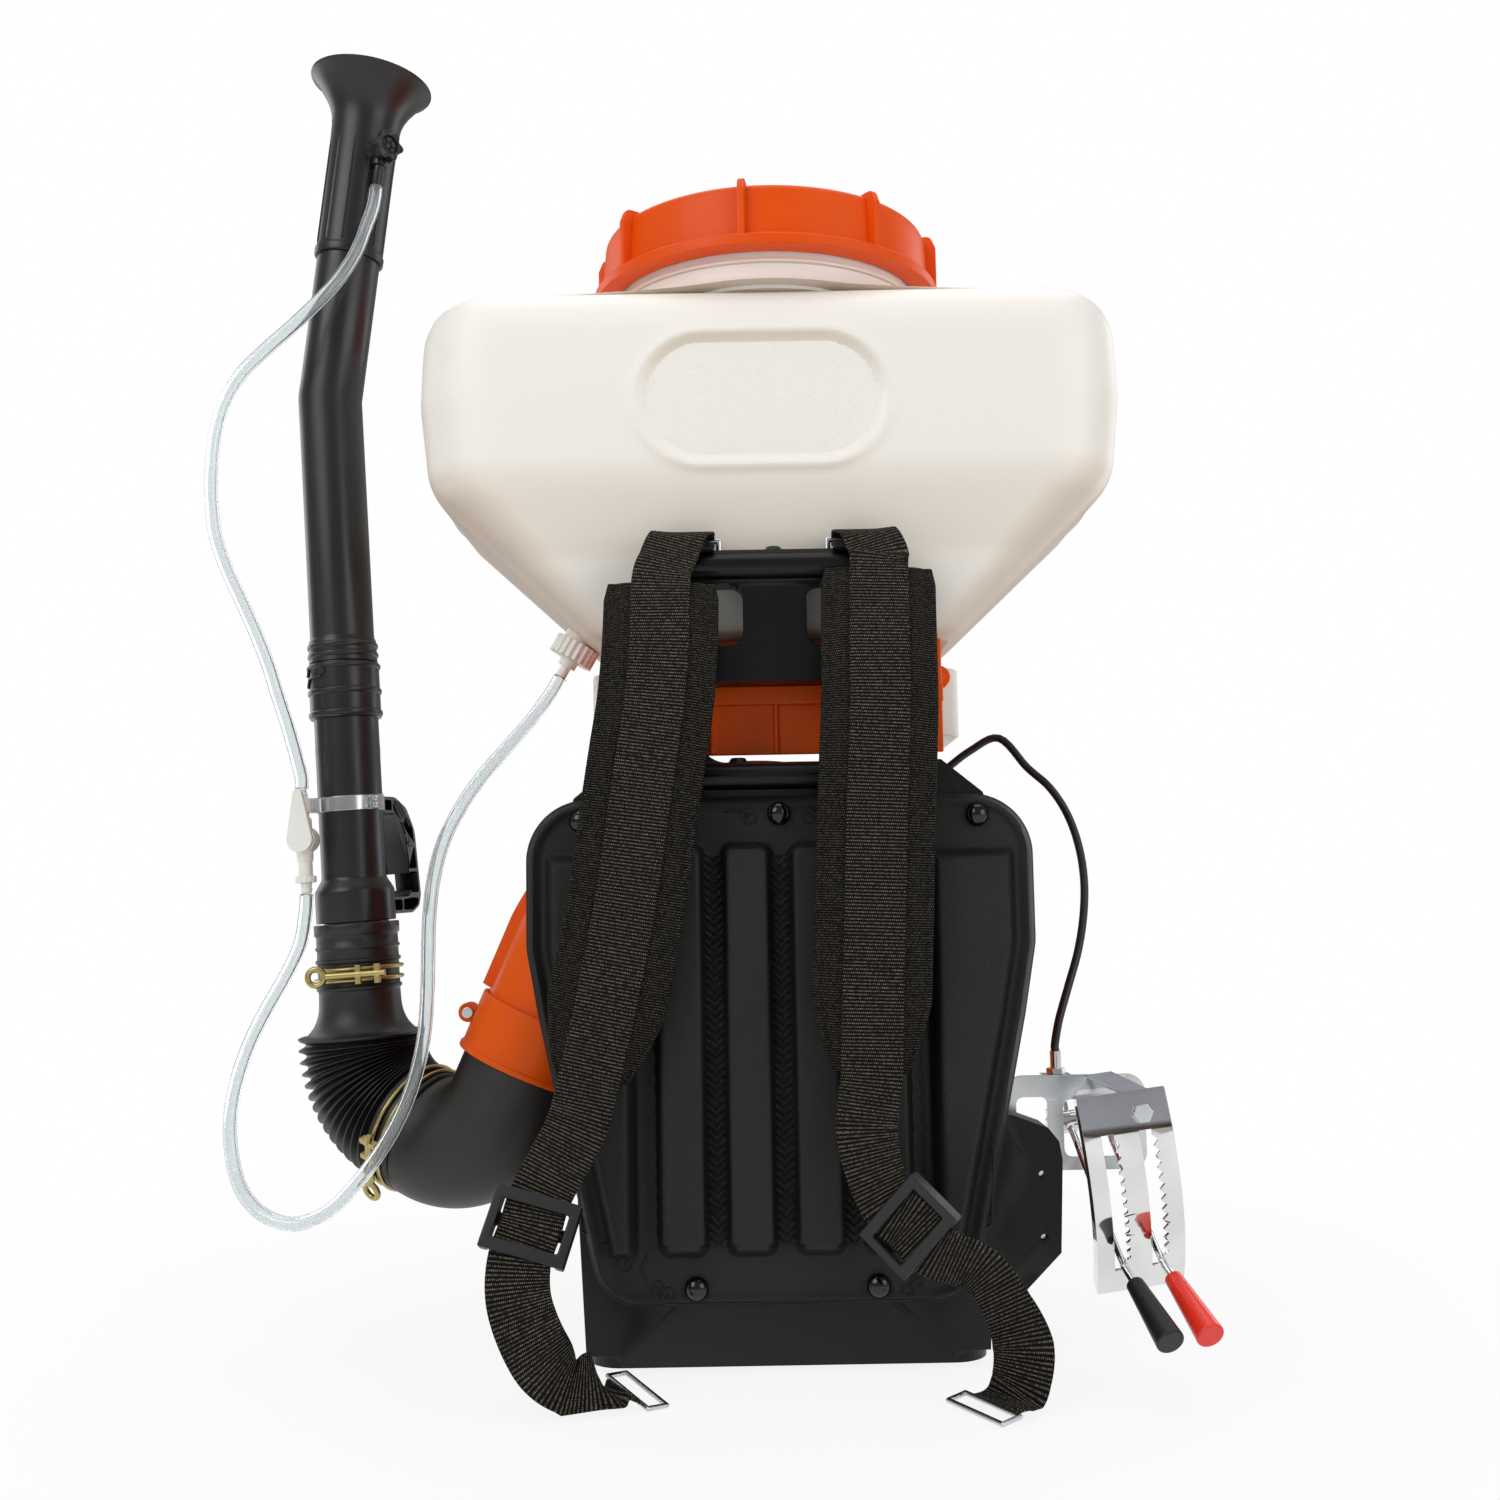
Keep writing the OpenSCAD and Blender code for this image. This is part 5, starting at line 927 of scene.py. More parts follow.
def resampled(points, sides, step):
    """Even steps along a smooth line through points, with side directions: (place, side, along)."""
    pts = [p * 1000 for p in spline_points(points, 12)]
    keys = np.linspace(0, len(points) - 1, len(pts))
    side = np.stack([np.interp(keys, range(len(sides)), [q[i] for q in sides]) for i in range(3)], 1)
    run = np.concatenate([[0], np.cumsum([(q - p).length for p, q in zip(pts, pts[1:])])])
    s = np.linspace(0, run[-1], int(run[-1] / step) + 1)
    xyz = np.stack([np.interp(s, run, [p[i] for p in pts]) for i in range(3)], 1)
    side = np.stack([np.interp(s, run, side[:, i]) for i in range(3)], 1)
    return [(Vector(p), Vector(q), t) for p, q, t in zip(xyz, side, s)]


def ribbon(line, section, name):
    """A flat strip along line. section(t, length) gives (across, through) points in millimetres."""
    shape = Shape()
    rings, coords = [], []
    total = line[-1][2]
    for i, (p, side, t) in enumerate(line):
        d = (line[min(i + 1, len(line) - 1)][0] - line[max(i - 1, 0)][0]).normalized()
        u = (side - d * side.dot(d)).normalized()
        w = d.cross(u)
        pts = section(t, total)
        ring = [p + u * q[0] + w * q[1] for q in pts]
        # its end lies on the ground
        lift = Vector((0, 0, max(0, 0.2 - min(q.z for q in ring))))
        rings.append([q + lift for q in ring])
        coords += [(q[0], t, q[1]) for q in pts]
    shape.rings(rings)
    obj = shape.make(name)
    attribute = obj.data.attributes.new("weave", "FLOAT_VECTOR", "POINT")
    attribute.data.foreach_set("vector", np.array(coords, np.float32).ravel())
    return obj


WEB_RIB = 2.3  # pitch of the webbing's cross ribs


def webbing_section(t, total):
    """Flat webbing with cross ribs and a sunk stitch line beside each edge."""
    rib = 0.28 * abs(math.sin(math.pi * t / WEB_RIB))
    half, thick = WEB_W / 2, WEB_T / 2
    top = []
    for x in (-0.97, -0.9, -0.86, -0.8, -0.4, 0, 0.4, 0.8, 0.86, 0.9, 0.97):
        dip = 0.3 if abs(x) == 0.86 else 0
        top.append((x * half, thick - 0.25 + rib * (abs(x) < 0.95) - dip))
    return [(x, -y) for x, y in top] + [(half, 0)] + top[::-1] + [(-half, 0)]


def pad_section(t, total):
    """Padded strap: a crowned body, a stitched channel beside the edge and a bound edge."""
    end = min(1, (total - t) / 46)
    start = min(1, (t + 2) / 14)
    half = PAD_W / 2 * (0.6 + 0.4 * end ** 0.7) * (0.93 + 0.07 * start)
    full = PAD_T / 2 * (0.35 + 0.65 * min(1, (total - t + 1) / 16)) * (0.5 + 0.5 * start)
    stitch = 0.25 * math.sin(2 * math.pi * t / 5)
    prof = [(1.0, 0.0), (0.985, 0.26), (0.95, 0.36), (0.90, 0.36), (0.865, 0.24), (0.83, 0.34), (0.76, 0.62),
            (0.66, 0.84), (0.5, 0.96), (0.25, 1.0), (0, 1.0)]
    top = [(half * x, full * y + (stitch if 0.86 < x < 0.87 else 0)) for x, y in prof]
    left = [(-x, y) for x, y in reversed(top[:-1])]
    under = [(-x, -y) for x, y in top[1:]]
    under_right = [(x, -y) for x, y in reversed(top[1:-1])]
    return top + left + under + under_right


for side_name, route, sides, x in (("left", LEFT_WEBBING, LEFT_SIDES, -61),
                                   ("right", RIGHT_WEBBING, RIGHT_SIDES, 61)):
    loop = loop_points(x)
    line = resampled(loop + route, [ACROSS] * len(loop) + sides, WEB_RIB / 4)
    strap = soften(ribbon(line, webbing_section, f"strap_{side_name}"), 60, False)
    finish_piece(strap, "pack", "webbing", f"webbing_{side_name}")
    front = [Vector(p) for p in route[:8]]
    back = []
    for i, p in enumerate(front):
        d = (front[min(i + 1, 7)] - front[max(i - 1, 0)]).normalized()
        if i == 7:
            d = (Vector(route[8]) - front[6]).normalized()
        u = (Vector(ACROSS) - d * d.x).normalized()
        back.append(p - d.cross(u) * ((PAD_T + WEB_T) / 2 + 0.3))
    line = resampled(back, [ACROSS] * 8, 1.25)
    padding = soften(ribbon(line, pad_section, f"padding_{side_name}"), 60, False)
    finish_piece(padding, "pack", "pad_cloth", f"shoulder_pad_{side_name}")

# ---------------------------------------------------------------- fan housing, elbow and bellows
FAN = Vector((0, -68, 215))
DUCT_R, WALL, FLANGE_W, FLANGE_T = 46, 2.5, 7, 4
LEAN = 23.6
O_DOWN = Vector((-sind(LEAN), 0, -cosd(LEAN)))
O_SIDE = Vector((-cosd(LEAN), 0, sind(LEAN)))
R0 = 112
R1 = R0 + 2 * DUCT_R
TONGUE_R = 4
END_A = 180 - LEAN
TONGUE_A = END_A + math.degrees(
    math.atan(math.sqrt((R0 + TONGUE_R) ** 2 - (R0 - TONGUE_R) ** 2) / (R0 - TONGUE_R)))
SCROLL = END_A + 360 - TONGUE_A
DUCT_LEN, COLLAR_LEN, ELBOW_R = 74, 42, 48
COLLAR_RIM = FAN + (R0 + DUCT_R) * O_SIDE + DUCT_LEN * O_DOWN + 24 * O_DOWN
ELBOW_OUT = cosd(25) * O_SIDE + Vector((0, sind(25), 0))
ELBOW_C = COLLAR_RIM + 25 * O_DOWN + ELBOW_R * ELBOW_OUT
ELBOW_END = ELBOW_C + ELBOW_R * O_DOWN


def radial(a):
    return Vector((cosd(a), 0, sind(a)))


def housing(side):
    steps = [6, 14, 22, 30, 38, 46, 54, 62, 70, 78, 84, 88]
    outer = [(-1, 0.05), (-1, FLANGE_T - 0.8), (-0.9, FLANGE_T), (0, FLANGE_T + 0.4)]
    outer += [(DUCT_R * (1 - cosd(t)), max(FLANGE_T + 1, DUCT_R * sind(t))) for t in steps]
    inner_r = DUCT_R - WALL
    inner = [(WALL, 0.05), (WALL, 1), (WALL, 2), (WALL, FLANGE_T + 0.4)]
    inner += [(DUCT_R - inner_r * cosd(t), max(FLANGE_T + 1, inner_r * sind(t))) for t in steps]
    socket = COLLAR_LEN - 22
    stations = [(R1 * O_SIDE + (DUCT_LEN - q) * O_DOWN, -O_SIDE, FLANGE_W if q > socket else 0.15)
                for q in (0, socket, socket + 1, DUCT_LEN - 10)]
    count = 132
    for i in range(count + 1):
        f = 1 - i / count
        d = radial(TONGUE_A + f * SCROLL)
        stations.append(((R0 + f * (R1 - R0)) * d, -d, FLANGE_W))
    c = (R0 + TONGUE_R) * radial(TONGUE_A)
    for i in range(1, 9):
        d = radial(TONGUE_A + 180 + (END_A + 180 - TONGUE_A) * i / 8)
        stations.append((c + TONGUE_R * d, d, 0.15))
    stations.append((R0 * O_SIDE + DUCT_LEN * O_DOWN, O_SIDE, 0.15))

    def at(st, q):
        return FAN + st[0] + (-st[2] * abs(q[0]) if q[0] < 0 else q[0]) * st[1] + Vector((0, side * q[1], 0))

    n, k = len(stations), len(outer)
    verts = [at(st, q) for st in stations for q in outer] + [at(st, q) for st in stations for q in inner]
    m = n * k
    faces = []
    for j in range(n - 1):
        for i in range(k - 1):
            p = j * k + i
            faces.append((p, p + k, p + k + 1, p + 1))
            faces.append((m + p, m + p + 1, m + p + k + 1, m + p + k))
        faces.append((j * k, m + j * k, m + j * k + k, j * k + k))
    for e in (0, (n - 1) * k):
        for i in range(k - 1):
            faces.append((e + i, e + i + 1, m + e + i + 1, m + e + i))
    t = k - 1
    e = (n - 1) * k
    faces.append((t, m + t, m + e + t, e + t))
    faces.append(tuple(j * k + t for j in range(n)))
    faces.append(tuple(m + j * k + t for j in range(n)))
    return Shape().add(verts, faces)


front_half = housing(-1)
for r, w in ((34, 2.2), (60, 2.0), (86, 1.8)):
    place = Matrix.Translation(FAN - Vector((0, DUCT_R - 0.2, 0))) @ turn("X", 90)
    front_half.revolve([(r - w, -0.8), (r - w + 0.6, 1.6), (r + w - 0.6, 1.6), (r + w, -0.8)], 96, place)
finish_piece(soften(front_half.make("fan_cover_front"), 50), "pack", "housing_orange",
             "fan_housing_front")


def refill_flats(obj, least=0.002):
    """Fills each wide flat face across y again from its edges, so that no triangles fold over each other."""
    bm = bmesh.new()
    bm.from_mesh(obj.data)
    planes = {}
    for f in bm.faces:
        if abs(f.normal.y) > 0.999:
            planes.setdefault(round(f.calc_center_median().y, 5), []).append(f)
    for flat in planes.values():
        if sum(f.calc_area() for f in flat) < least:
            continue
        inside = set(flat)
        edges = list(dict.fromkeys(e for f in flat for e in f.edges))
        border = [e for e in edges if sum(f in inside for f in e.link_faces) == 1]
        bmesh.ops.delete(bm, geom=flat, context="FACES_ONLY")
        loose = [e for e in edges if e.is_valid and not e.link_faces and e not in border]
        bmesh.ops.delete(bm, geom=loose, context="EDGES")
        border = [e for e in border if e.is_valid]
        bmesh.ops.triangle_fill(bm, use_beauty=True, use_dissolve=False, edges=border)
    bmesh.ops.recalc_face_normals(bm, faces=bm.faces)
    bm.to_mesh(obj.data)
    bm.free()
    return obj


rear_half = soften(refill_flats(copy_of("fan_housing_rear", 0)))
finish_piece(rear_half, "pack", "housing_orange", "fan_housing_rear")


def hollow(rings_data, side, sides=96):
    """A tube wall through (centre, axis, outer radius, inner radius)."""
    rings = []
    for skin_index in (2, 3):
        part = []
        for q in rings_data:
            axis = q[1].normalized()
            u = side
            w = u.cross(axis)
            part.append([q[0] + q[skin_index] * (math.cos(t) * u + math.sin(t) * w)
                         for t in (2 * math.pi * k / sides for k in range(sides))])
        rings += part if skin_index == 2 else part[::-1]
    return Shape().rings(rings, loop=True)


elbow_side = O_DOWN.cross(ELBOW_OUT).normalized()
elbow = [(COLLAR_RIM - 22 * O_DOWN, O_DOWN, DUCT_R - 0.2, DUCT_R - 3),
         (COLLAR_RIM + 1 * O_DOWN, O_DOWN, DUCT_R, DUCT_R - 3),
         (COLLAR_RIM + 4 * O_DOWN, O_DOWN, DUCT_R, DUCT_R - 3)]
for i in range(0, 46):
    t = 2 * i
    elbow.append((ELBOW_C - ELBOW_R * (cosd(t) * ELBOW_OUT - sind(t) * O_DOWN),
                  cosd(t) * O_DOWN + sind(t) * ELBOW_OUT, DUCT_R, DUCT_R - 3))
for t, r in ((2.6, 46), (3.6, 45.4), (4.1, 44), (4.4, 41.2), (6, 41), (21, 41), (23, 40.6), (23.5, 39.8)):
    elbow.append((ELBOW_END + t * ELBOW_OUT, ELBOW_OUT, r, 38))
finish_piece(soften(hollow(elbow, elbow_side, 128).make("elbow_duct"), 40), "pack", "elbow_grey", "outlet_elbow")

WAND_LEAN, WAND_BEND = 3.2, 10.1
WAND_DIR = Vector((-sind(WAND_LEAN), 0, cosd(WAND_LEAN)))
BELLOWS_R, CUFF, RIBS = 66, 28, 13
BELLOWS_START = ELBOW_END + CUFF * ELBOW_OUT
BELLOWS_TURN = math.degrees(ELBOW_OUT.angle(WAND_DIR))
BELLOWS_IN = (WAND_DIR - ELBOW_OUT * WAND_DIR.dot(ELBOW_OUT)).normalized()
BELLOWS_C = BELLOWS_START + BELLOWS_R * BELLOWS_IN


def bellows_at(t):
    return BELLOWS_C + BELLOWS_R * (sind(t) * ELBOW_OUT - cosd(t) * BELLOWS_IN)


def bellows_dir(t):
    return cosd(t) * ELBOW_OUT + sind(t) * BELLOWS_IN


FOOT = bellows_at(BELLOWS_TURN)
bellows_side = ELBOW_OUT.cross(WAND_DIR).normalized()
SEAT_R = 41.4
rows_b = [(ELBOW_END + t * ELBOW_OUT, ELBOW_OUT, r, SEAT_R) for t, r in (
    (5, 43.6), (5.5, 44.6), (6.5, 45.6), (8, 46.4), (9.5, 45.8), (10.4, 44.8), (11, 44.4), (13, 44.4), (19, 44.4),
    (20.6, 44.8), (22, 46.2), (24, 46.6), (26, 45.4), (27, 43.0))]
for i in range(RIBS * 8):
    t = BELLOWS_TURN * (i + 0.5) / (RIBS * 8)
    wave = (1 - math.cos(2 * math.pi * (i + 0.5) / 8)) / 2
    rows_b.append((bellows_at(t), bellows_dir(t), 41.2 + 5.8 * wave ** 1.5, 38))
for t, r, q in ((1, 41.6, 37.5), (2, 44.4, 37), (3.2, 46.4, 36.5), (4.6, 46.6, 36), (5.4, 44.6, 36), (5.8, 41.4, 36),
                (6.4, 39.6, 35.4), (9, 37.2, 33), (12, 34.8, 31), (16, 32.8, 29.5), (20, 31.4, 28.2), (24, 30.6, 27),
                (28, 30.3, 24.2), (36, 30, 24.2), (38, 30.2, 24.2), (38.6, 31.4, 24.2), (40.6, 31.5, 24.2),
                (41.4, 30.2, 24.2), (45, 30, 24.2), (57, 30, 24.2), (58.4, 30.2, 24.2), (59, 31.4, 24.2),
                (61, 31.5, 24.2), (61.6, 30.2, 24.2), (67.4, 30, 24.2), (68.4, 30.2, 24.2), (69, 31.2, 24.2),
                (70.6, 31.2, 24.2), (71.4, 30.2, 24.2), (78, 30.1, 24.2), (79, 30.4, 24.2), (79.6, 31.4, 24.2),
                (86.8, 31.6, 24.2), (87.8, 31.0, 24.2)):
    rows_b.append((FOOT + t * WAND_DIR, WAND_DIR, r, q))
bellows = soften(hollow(rows_b, bellows_side, 96).make("bellows_hose"), 60, False)
bellows.data.materials.append(M["bellows_rubber"])
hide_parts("bellows")
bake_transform(bellows)

# ---------------------------------------------------------------- wand
AT_WAND = Matrix.Translation(FOOT) @ turn("Y", -WAND_LEAN)
COUPLER, BEND_AT = 267, 495
AT_UPPER = AT_WAND @ shift(0, 0, BEND_AT) @ turn("Y", WAND_BEND)
TUBE_R = 24
TUBE_END = COUPLER + 19
VALVE_TURN, VALVE_AT, NOZZLE_R = 42, 196, 26.5
AT_VALVE = AT_UPPER @ turn("Z", VALVE_TURN) @ shift(0, -NOZZLE_R - 9.3, VALVE_AT) @ turn("X", 90)
AT_TAP = AT_WAND @ turn("Z", 219) @ shift(38.5, 0, 0) @ turn("Z", -219)


def ringed(z, w, r, rise):
    """Profile points of a soft raised ring."""
    return [(r, z - 0.6), (r + rise * 0.7, z), (r + rise, z + 0.7), (r + rise, z + w - 0.7),
            (r + rise * 0.7, z + w), (r, z + w + 0.6)]


lower = Shape()
profile = [(22, 32), (TUBE_R, 32), (TUBE_R, 87), (TUBE_R, 88.6), (29.0, 88.7), (29.5, 89.4), (29.5, 111),
           (29.2, 112.6), (28.2, 114.5), (26.4, 117.6), (25.0, 119.8), (24.3, 121.3), (24, 123)]
profile += [(24.0, 215), (24.15, 215.5), (24.15, 222), (24, 222.5), (24, 243), (26.6, 243.6)]
profile += ringed(245, 3.6, 26.4, 1.2) + ringed(262, 3.4, 26.4, 1.2) + ringed(281.5, 2.8, 26.4, 1.2)
profile += [(26.2, 285.6), (22.2, 285.8), (22.05, 285.2), (22.05, 247), (22, 246.4)]
lower.revolve(profile, 96, AT_WAND)
# rim of the bayonet's slot, raised round the pin's path
slot_line = []
for k in range(21):
    # level as far as the pin turns, then down to its mouth
    slot_line.append((27.2 * sind(-24 - 2.2 * k), -27.2 * cosd(-24 - 2.2 * k), 278.6 - 1.3 * max(0, k - 15)))
for dz in (-4.2, 4.2):
    lower.tube([(x, y, z + dz) for x, y, z in slot_line], 0.9, 8, AT_WAND)
finish_piece(soften(lower.make("tube_lower"), 38), "wand", "wand_black", "handle_tube")

upper = Shape()
bore = 19.95
profile = [(bore, 249), (21.9, 249), (21.95, 249.6), (21.95, 285.9), (24, 286.4), (25.6, 286.6)]
profile += ringed(290.5, 3, 25.4, 1.1) + ringed(297.5, 3, 25.4, 1.1) + [(25.2, 303), (24.4, 304.6), (24, 306)]
for z in (330, 400, 470):
    profile.append((24, z))
rings = []
sides = 96
for r, z in profile:
    rings.append([AT_WAND @ Vector((r * math.cos(t), r * math.sin(t), z))
                  for t in (2 * math.pi * k / sides for k in range(sides))])
for step in range(1, 8):
    t = WAND_BEND * step / 8
    place = AT_WAND @ shift(0, 0, BEND_AT) @ turn("Y", t)
    rings.append([place @ Vector((24.1 * math.cos(q), 24.1 * math.sin(q), (step - 4) * 1.2))
                  for q in (2 * math.pi * k / sides for k in range(sides))])
for r, z in ((24, 12), (24, 60), (24, 124.6), (23.4, 125), (bore, 125), (bore, 60), (bore, 8)):
    rings.append([AT_UPPER @ Vector((r * math.cos(q), r * math.sin(q), z))
                  for q in (2 * math.pi * k / sides for k in range(sides))])
rings.append([AT_WAND @ Vector((bore * math.cos(q), bore * math.sin(q), BEND_AT - 6))
              for q in (2 * math.pi * k / sides for k in range(sides))])
upper.rings(rings, loop=True)
pin_place = AT_WAND @ turn("Z", -24) @ shift(0, -TUBE_R + 4, TUBE_END - 7.5) @ turn("X", 90)
upper.revolve([(0, 7.6), (2.6, 7.3), (3.2, 6.4), (3.2, 0), (0, 0)], 24, pin_place, loop=False)
finish_piece(soften(upper.make("tube_upper"), 38), "wand_upper", "wand_black", "wand_tube")

nozzle = Shape()
profile = [(19.4, 126), (24.2, 126), (24.2, 112.8), (25.8, 112.6), (26.4, 113.4), (26.6, 118), (25.9, 119),
           (25.6, 121), (25.6, 186), (25.8, 205), (26.2, 220), (27.2, 228), (29.6, 235), (33.4, 242),
           (38.4, 249), (43.2, 254.6), (46.2, 256.6), (47, 257.8), (46.8, 258.9), (46, 259), (44.6, 258.2),
           (40, 252.6), (34.6, 245.6), (28.6, 238), (23.4, 231), (19.8, 225), (19, 221), (19, 160), (19, 140)]
nozzle.revolve(profile, 128, AT_UPPER)
for k in range(12):
    # guide ribs along the nozzle's cylinder
    place = AT_UPPER @ turn("Z", 30 * k)
    nozzle.tube([(25.5, 0, z) for z in (121, 122.5, 150, 180, 200, 205)],
                lambda t: 0.4 if t in (0, 1) else 0.9, 8, place)
boss = AT_UPPER @ turn("Z", VALVE_TURN) @ shift(0, -NOZZLE_R - 9, VALVE_AT) @ turn("X", -90)
nozzle.revolve([(3.05, 0), (7.4, 0), (8, 0.7), (8, 6), (8.6, 9), (9.4, 11.6), (3.05, 11.6)], 40, boss)
barb = AT_UPPER @ turn("Z", VALVE_TURN) @ shift(0, -NOZZLE_R - 5, VALVE_AT - 30)
nozzle.revolve([(0, 0), (3.4, 0), (4.4, 4), (3.6, 4.1), (4.4, 8), (3.6, 8.1), (4.4, 12), (3.6, 12.1),
                (3.6, 16), (5.6, 16.6), (5.6, 20), (4.4, 21), (4.4, 30), (0, 30)], 32, barb, loop=False)
finish_piece(soften(nozzle.make("nozzle_body"), 38), "wand_upper", "wand_black", "nozzle")

knob = Shape()
lobes = []
for k in range(144):
    t = 2 * math.pi * k / 144
    lobes.append((10.6 + 1.5 * math.cos(6 * t), t))
rings = []
for z, cut in ((0.2, 0.7), (0.9, 0.1), (1.6, 0), (8.4, 0), (9.3, 0.35), (9.9, 1.3)):
    rings.append([((r - cut) * math.cos(t), (r - cut) * math.sin(t), z) for r, t in lobes])
for z, r in ((9.9, 7.2), (9.2, 6.6), (7.0, 6.4), (6.6, 5.9), (6.6, 3.2), (7.4, 2.6), (7.8, 1.6), (7.9, 0.4)):
    rings.append([(r * math.cos(t), r * math.sin(t), z) for _, t in lobes])
knob.rings(rings, AT_VALVE)
for k in range(6):
    spoke = [(r * cosd(60 * k), r * sind(60 * k), 6.8) for r in (2.6, 4.4, 6.4)]
    knob.tube(spoke, 0.6, 8, AT_VALVE, first=(0, 0, 1))
knob.revolve([(0, -9), (3, -9), (3, 0.4), (0, 0.4)], 24, AT_VALVE, loop=False)
finish_piece(soften(knob.make("dose_knob"), 40), "dose", "wand_black", "dosing_knob")

# ---- grip on the wand, with the open cells of its web ----
GRIP_TURN = 66.5
GRIP_Z0, GRIP_Z1, GRIP_REACH, GRIP_T = 93, 184, 70, 22
outline = fillet([(20, GRIP_Z0, 0), (GRIP_REACH - 12, GRIP_Z0, 8), (GRIP_REACH - 3, GRIP_Z0 + 5, 6),
                  (GRIP_REACH, GRIP_Z0 + 14, 10), (GRIP_REACH - 4, GRIP_Z1 - 26, 26),
                  (GRIP_REACH - 14, GRIP_Z1 - 8, 12), (GRIP_REACH - 28, GRIP_Z1, 12), (20, GRIP_Z1, 0)], 8)
gap = fillet([(20, GRIP_Z0 + 13, 0), (GRIP_REACH - 17, GRIP_Z0 + 13, 5), (GRIP_REACH - 13, GRIP_Z0 + 18, 6),
              (GRIP_REACH - 17, GRIP_Z1 - 27, 24), (GRIP_REACH - 30, GRIP_Z1 - 13, 12), (20, GRIP_Z1 - 13, 0)], 8)
GRIP_PLACE = AT_WAND @ turn("Z", GRIP_TURN) @ turn("X", 90)


def carve(obj, *shapes, operation="DIFFERENCE"):
    """Booleans closed shapes into or out of obj, and removes them."""
    for shape in shapes:
        tool = shape.make("cutter", smooth=False)
        modify(obj, "BOOLEAN", operation=operation, object=tool, solver="EXACT")
        bpy.data.objects.remove(tool, do_unlink=True)
    return obj


body = Shape().prism(outline, -GRIP_T / 2, GRIP_T / 2, GRIP_PLACE).make("grip_body", smooth=False)
hole = Shape().prism(gap, -GRIP_T, GRIP_T, GRIP_PLACE)
# pockets of the web, on both sides
cells = Shape()
pockets = [
    [(56.5, 109, 1.5), (66.6, 109, 1.5), (65.4, 125, 1.5), (55.8, 125, 1.5)],
    [(55.7, 128, 1.5), (65.2, 128, 1.5), (63.9, 144, 1.5), (55.0, 144, 1.5)],
    [(54.9, 147, 1.5), (63.6, 147, 1.5), (61.4, 159, 3), (55.6, 168.6, 1.5), (49.8, 163.4, 2)],
    [(47.6, 165.6, 1.5), (53.4, 171.2, 1.5), (46, 179.5, 3), (39.2, 180.6, 1), (39.2, 173.6, 1)],
    [(36.4, 173.6, 1), (36.4, 181.2, 1), (29.0, 181.2, 1), (29.0, 173.6, 1)],
    [(31.5, 95.6, 1.5), (44, 95.6, 1.5), (44, 103.4, 1.5), (31.5, 103.4, 1.5)],
    [(46.6, 95.6, 1.5), (57.6, 95.6, 2), (64, 99, 2), (66.6, 104, 2), (57.6, 104.6, 2), (46.6, 103.4, 1.5)],
]
for p in pockets:
    for z0, z1 in ((2.2, GRIP_T), (-GRIP_T, -2.2)):
        cells.prism(fillet(p, 4), z0, z1, GRIP_PLACE)
bore_cut = Shape().revolve([(0, 80), (29.65, 80), (29.65, 113.2), (24.2, 122.6), (24.2, 123), (25.6, 123.2),
                            (25.6, 200), (0, 200)], 96, AT_WAND, loop=False)
carve(body, hole, cells, bore_cut)
modify(body, "BEVEL", width=0.9 * MM, segments=2, limit_method="ANGLE", angle_limit=math.radians(40),
       use_clamp_overlap=False)
finish_piece(soften(body, 38), "wand", "wand_black", "wand_handle")

# ---------------------------------------------------------------- tap
tap = Shape()
tap.revolve([(0, 112), (3.4, 112), (4.4, 116), (3.6, 116.1), (4.4, 119.6), (3.7, 119.8), (3.7, 120), (7.0, 120),
             (7.5, 120.7), (7.5, 124.3), (7.0, 125), (5.2, 125.4), (5.2, 135.5), (6, 136.4), (6.2, 140),
             (6.2, 166), (5.8, 168), (4.6, 169), (4.6, 171.6), (6.2, 172.2), (6.6, 173), (6.6, 182.2),
             (6.2, 183), (4.2, 183.4), (3.7, 184), (4.4, 186),
             (3.6, 186.1), (3.3, 190), (0, 190)], 40, AT_TAP, loop=False)
for k in range(14):
    tap.tube([(7.2, 0, z) for z in (120.4, 121.2, 123.8, 124.6)], 0.7, 6, AT_TAP @ turn("Z", 360 * k / 14))
cross = AT_TAP @ shift(0, 8, 152) @ turn("X", 90)
barrel = [(4.1, 17), (9.2, 17), (10, 16.2), (10, 10), (9.4, 9), (9.4, 7), (10, 6), (10, 1), (9.2, 0), (4.1, 0)]
tap.revolve(barrel, 48, cross)
tap.revolve([(0, 0.5), (4.4, 0.5), (4.4, 5), (0, 5)], 32, cross, loop=False)
finish_piece(soften(tap.make("tap_valve"), 40), "wand", "fitting_white", "tap_body")
finish_piece(copy_of("tap_lever", 0.9, 3), "tap", "fitting_white", "tap_lever")

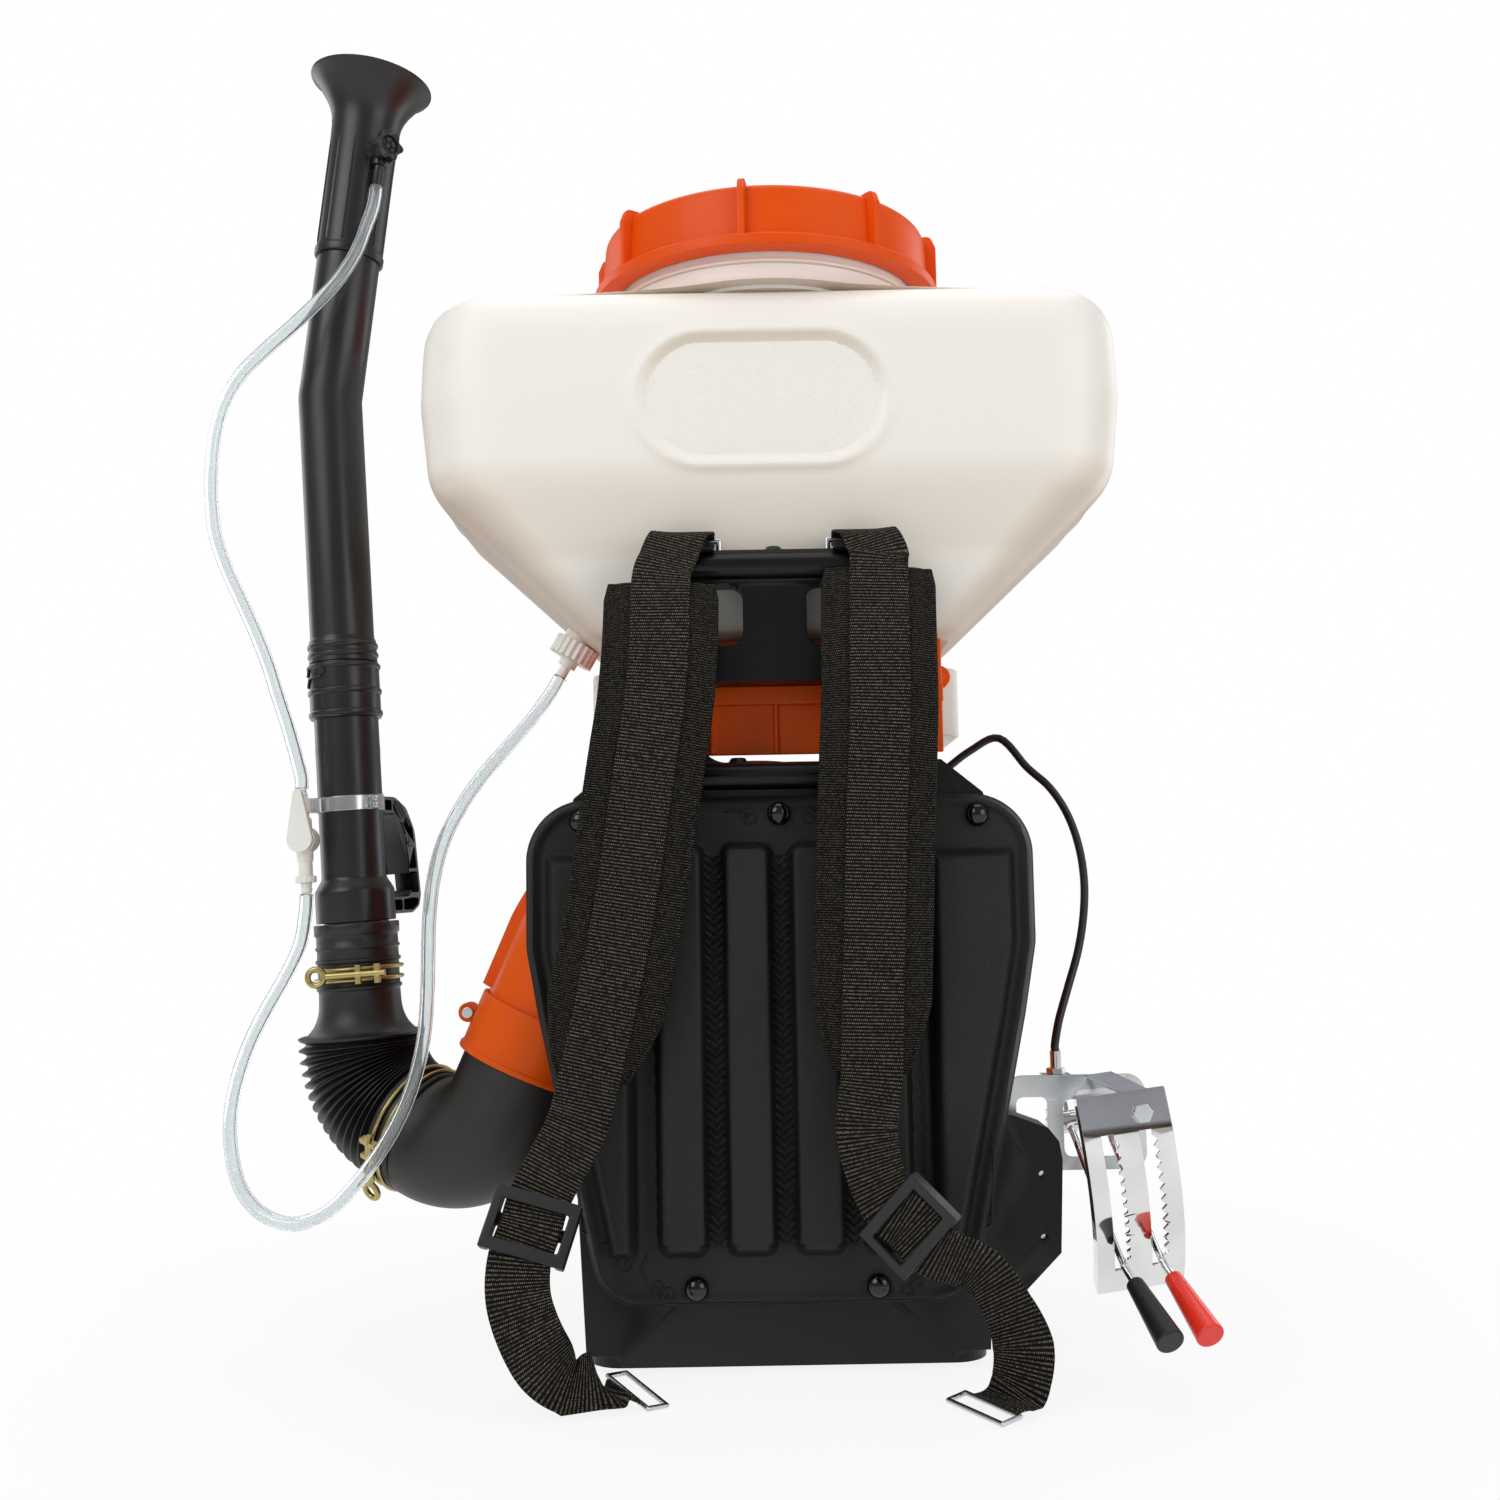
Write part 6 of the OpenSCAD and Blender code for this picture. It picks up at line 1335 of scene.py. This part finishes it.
# ---------------------------------------------------------------- rounded copies of plain parts
ROUNDED = {
    # node: (body, edge radius, bevel steps)
    "carrier_frame": ("pack", 0, 1), "tank_seat": ("pack", 0.9, 2), "outlet_collar": ("pack", 0.9, 3),
    "frame_plugs": ("pack", 0.8, 3), "strap_buckles": ("pack", 1.3, 3), "lever_bracket": ("pack", 0, 1),
    "quadrant_plate": ("pack", 0, 1), "throttle_grip": ("throttle", 0.5, 2), "shutter_grip": ("shutter", 0.5, 2),
    "recoil_housing": ("pack", 1.2, 2), "fuel_tank": ("pack", 1.5, 3), "fuel_cap": ("fuel_cap_body", 0.6, 2),
    "air_filter_cover": ("pack", 1.6, 3), "muffler": ("pack", 1.6, 3), "muffler_guard": ("pack", 0.3, 2),
    "crankcase": ("pack", 1.2, 2), "engine_cylinder": ("pack", 0.5, 2), "carburettor": ("pack", 1.0, 2),
    "spark_plug": ("pack", 0.5, 2), "vibration_mounts": ("pack", 0.8, 2), "outlet_nut": ("pack", 0.4, 2),
    "outlet_spigot": ("pack", 0.4, 2), "starter_handle": ("starter", 0.8, 2), "choke_lever": ("choke", 0.5, 2),
    "impeller": ("rotor", 0.3, 1), "flywheel": ("rotor", 0.6, 2), "crankshaft": ("rotor", 0.6, 2),
    "tank_gasket": ("lid_seal", 0.6, 2), "housing_screws": ("pack", 0.4, 2), "cable_stop": ("pack", 0.4, 2),
    "quadrant_fasteners": ("pack", 0.4, 2), "handle_band": ("wand", 0.3, 2),
    "throttle_lever": ("throttle", 0.3, 1), "shutter_lever": ("shutter", 0.3, 1),
    "strap_bows": ("pack", 0, 1), "strap_rings": ("pack", 0, 1),
    "bellows_clamp_lower": ("pack", 0.4, 2), "bellows_clamp_upper": ("wand", 0.4, 2),
}
slots = {p["node"]: p["material_slot"] for p in frame["record"]["subparts"]}
for node, (carrier, radius, steps) in ROUNDED.items():
    finish_piece(copy_of(node, radius, steps), carrier, slots[node], node)

# ---------------------------------------------------------------- carried-over CAD nodes
for name, obj in NODES.items():
    if name not in slots:
        continue
    obj.data.materials.clear()
    obj.data.materials.append(M[slots[name]])
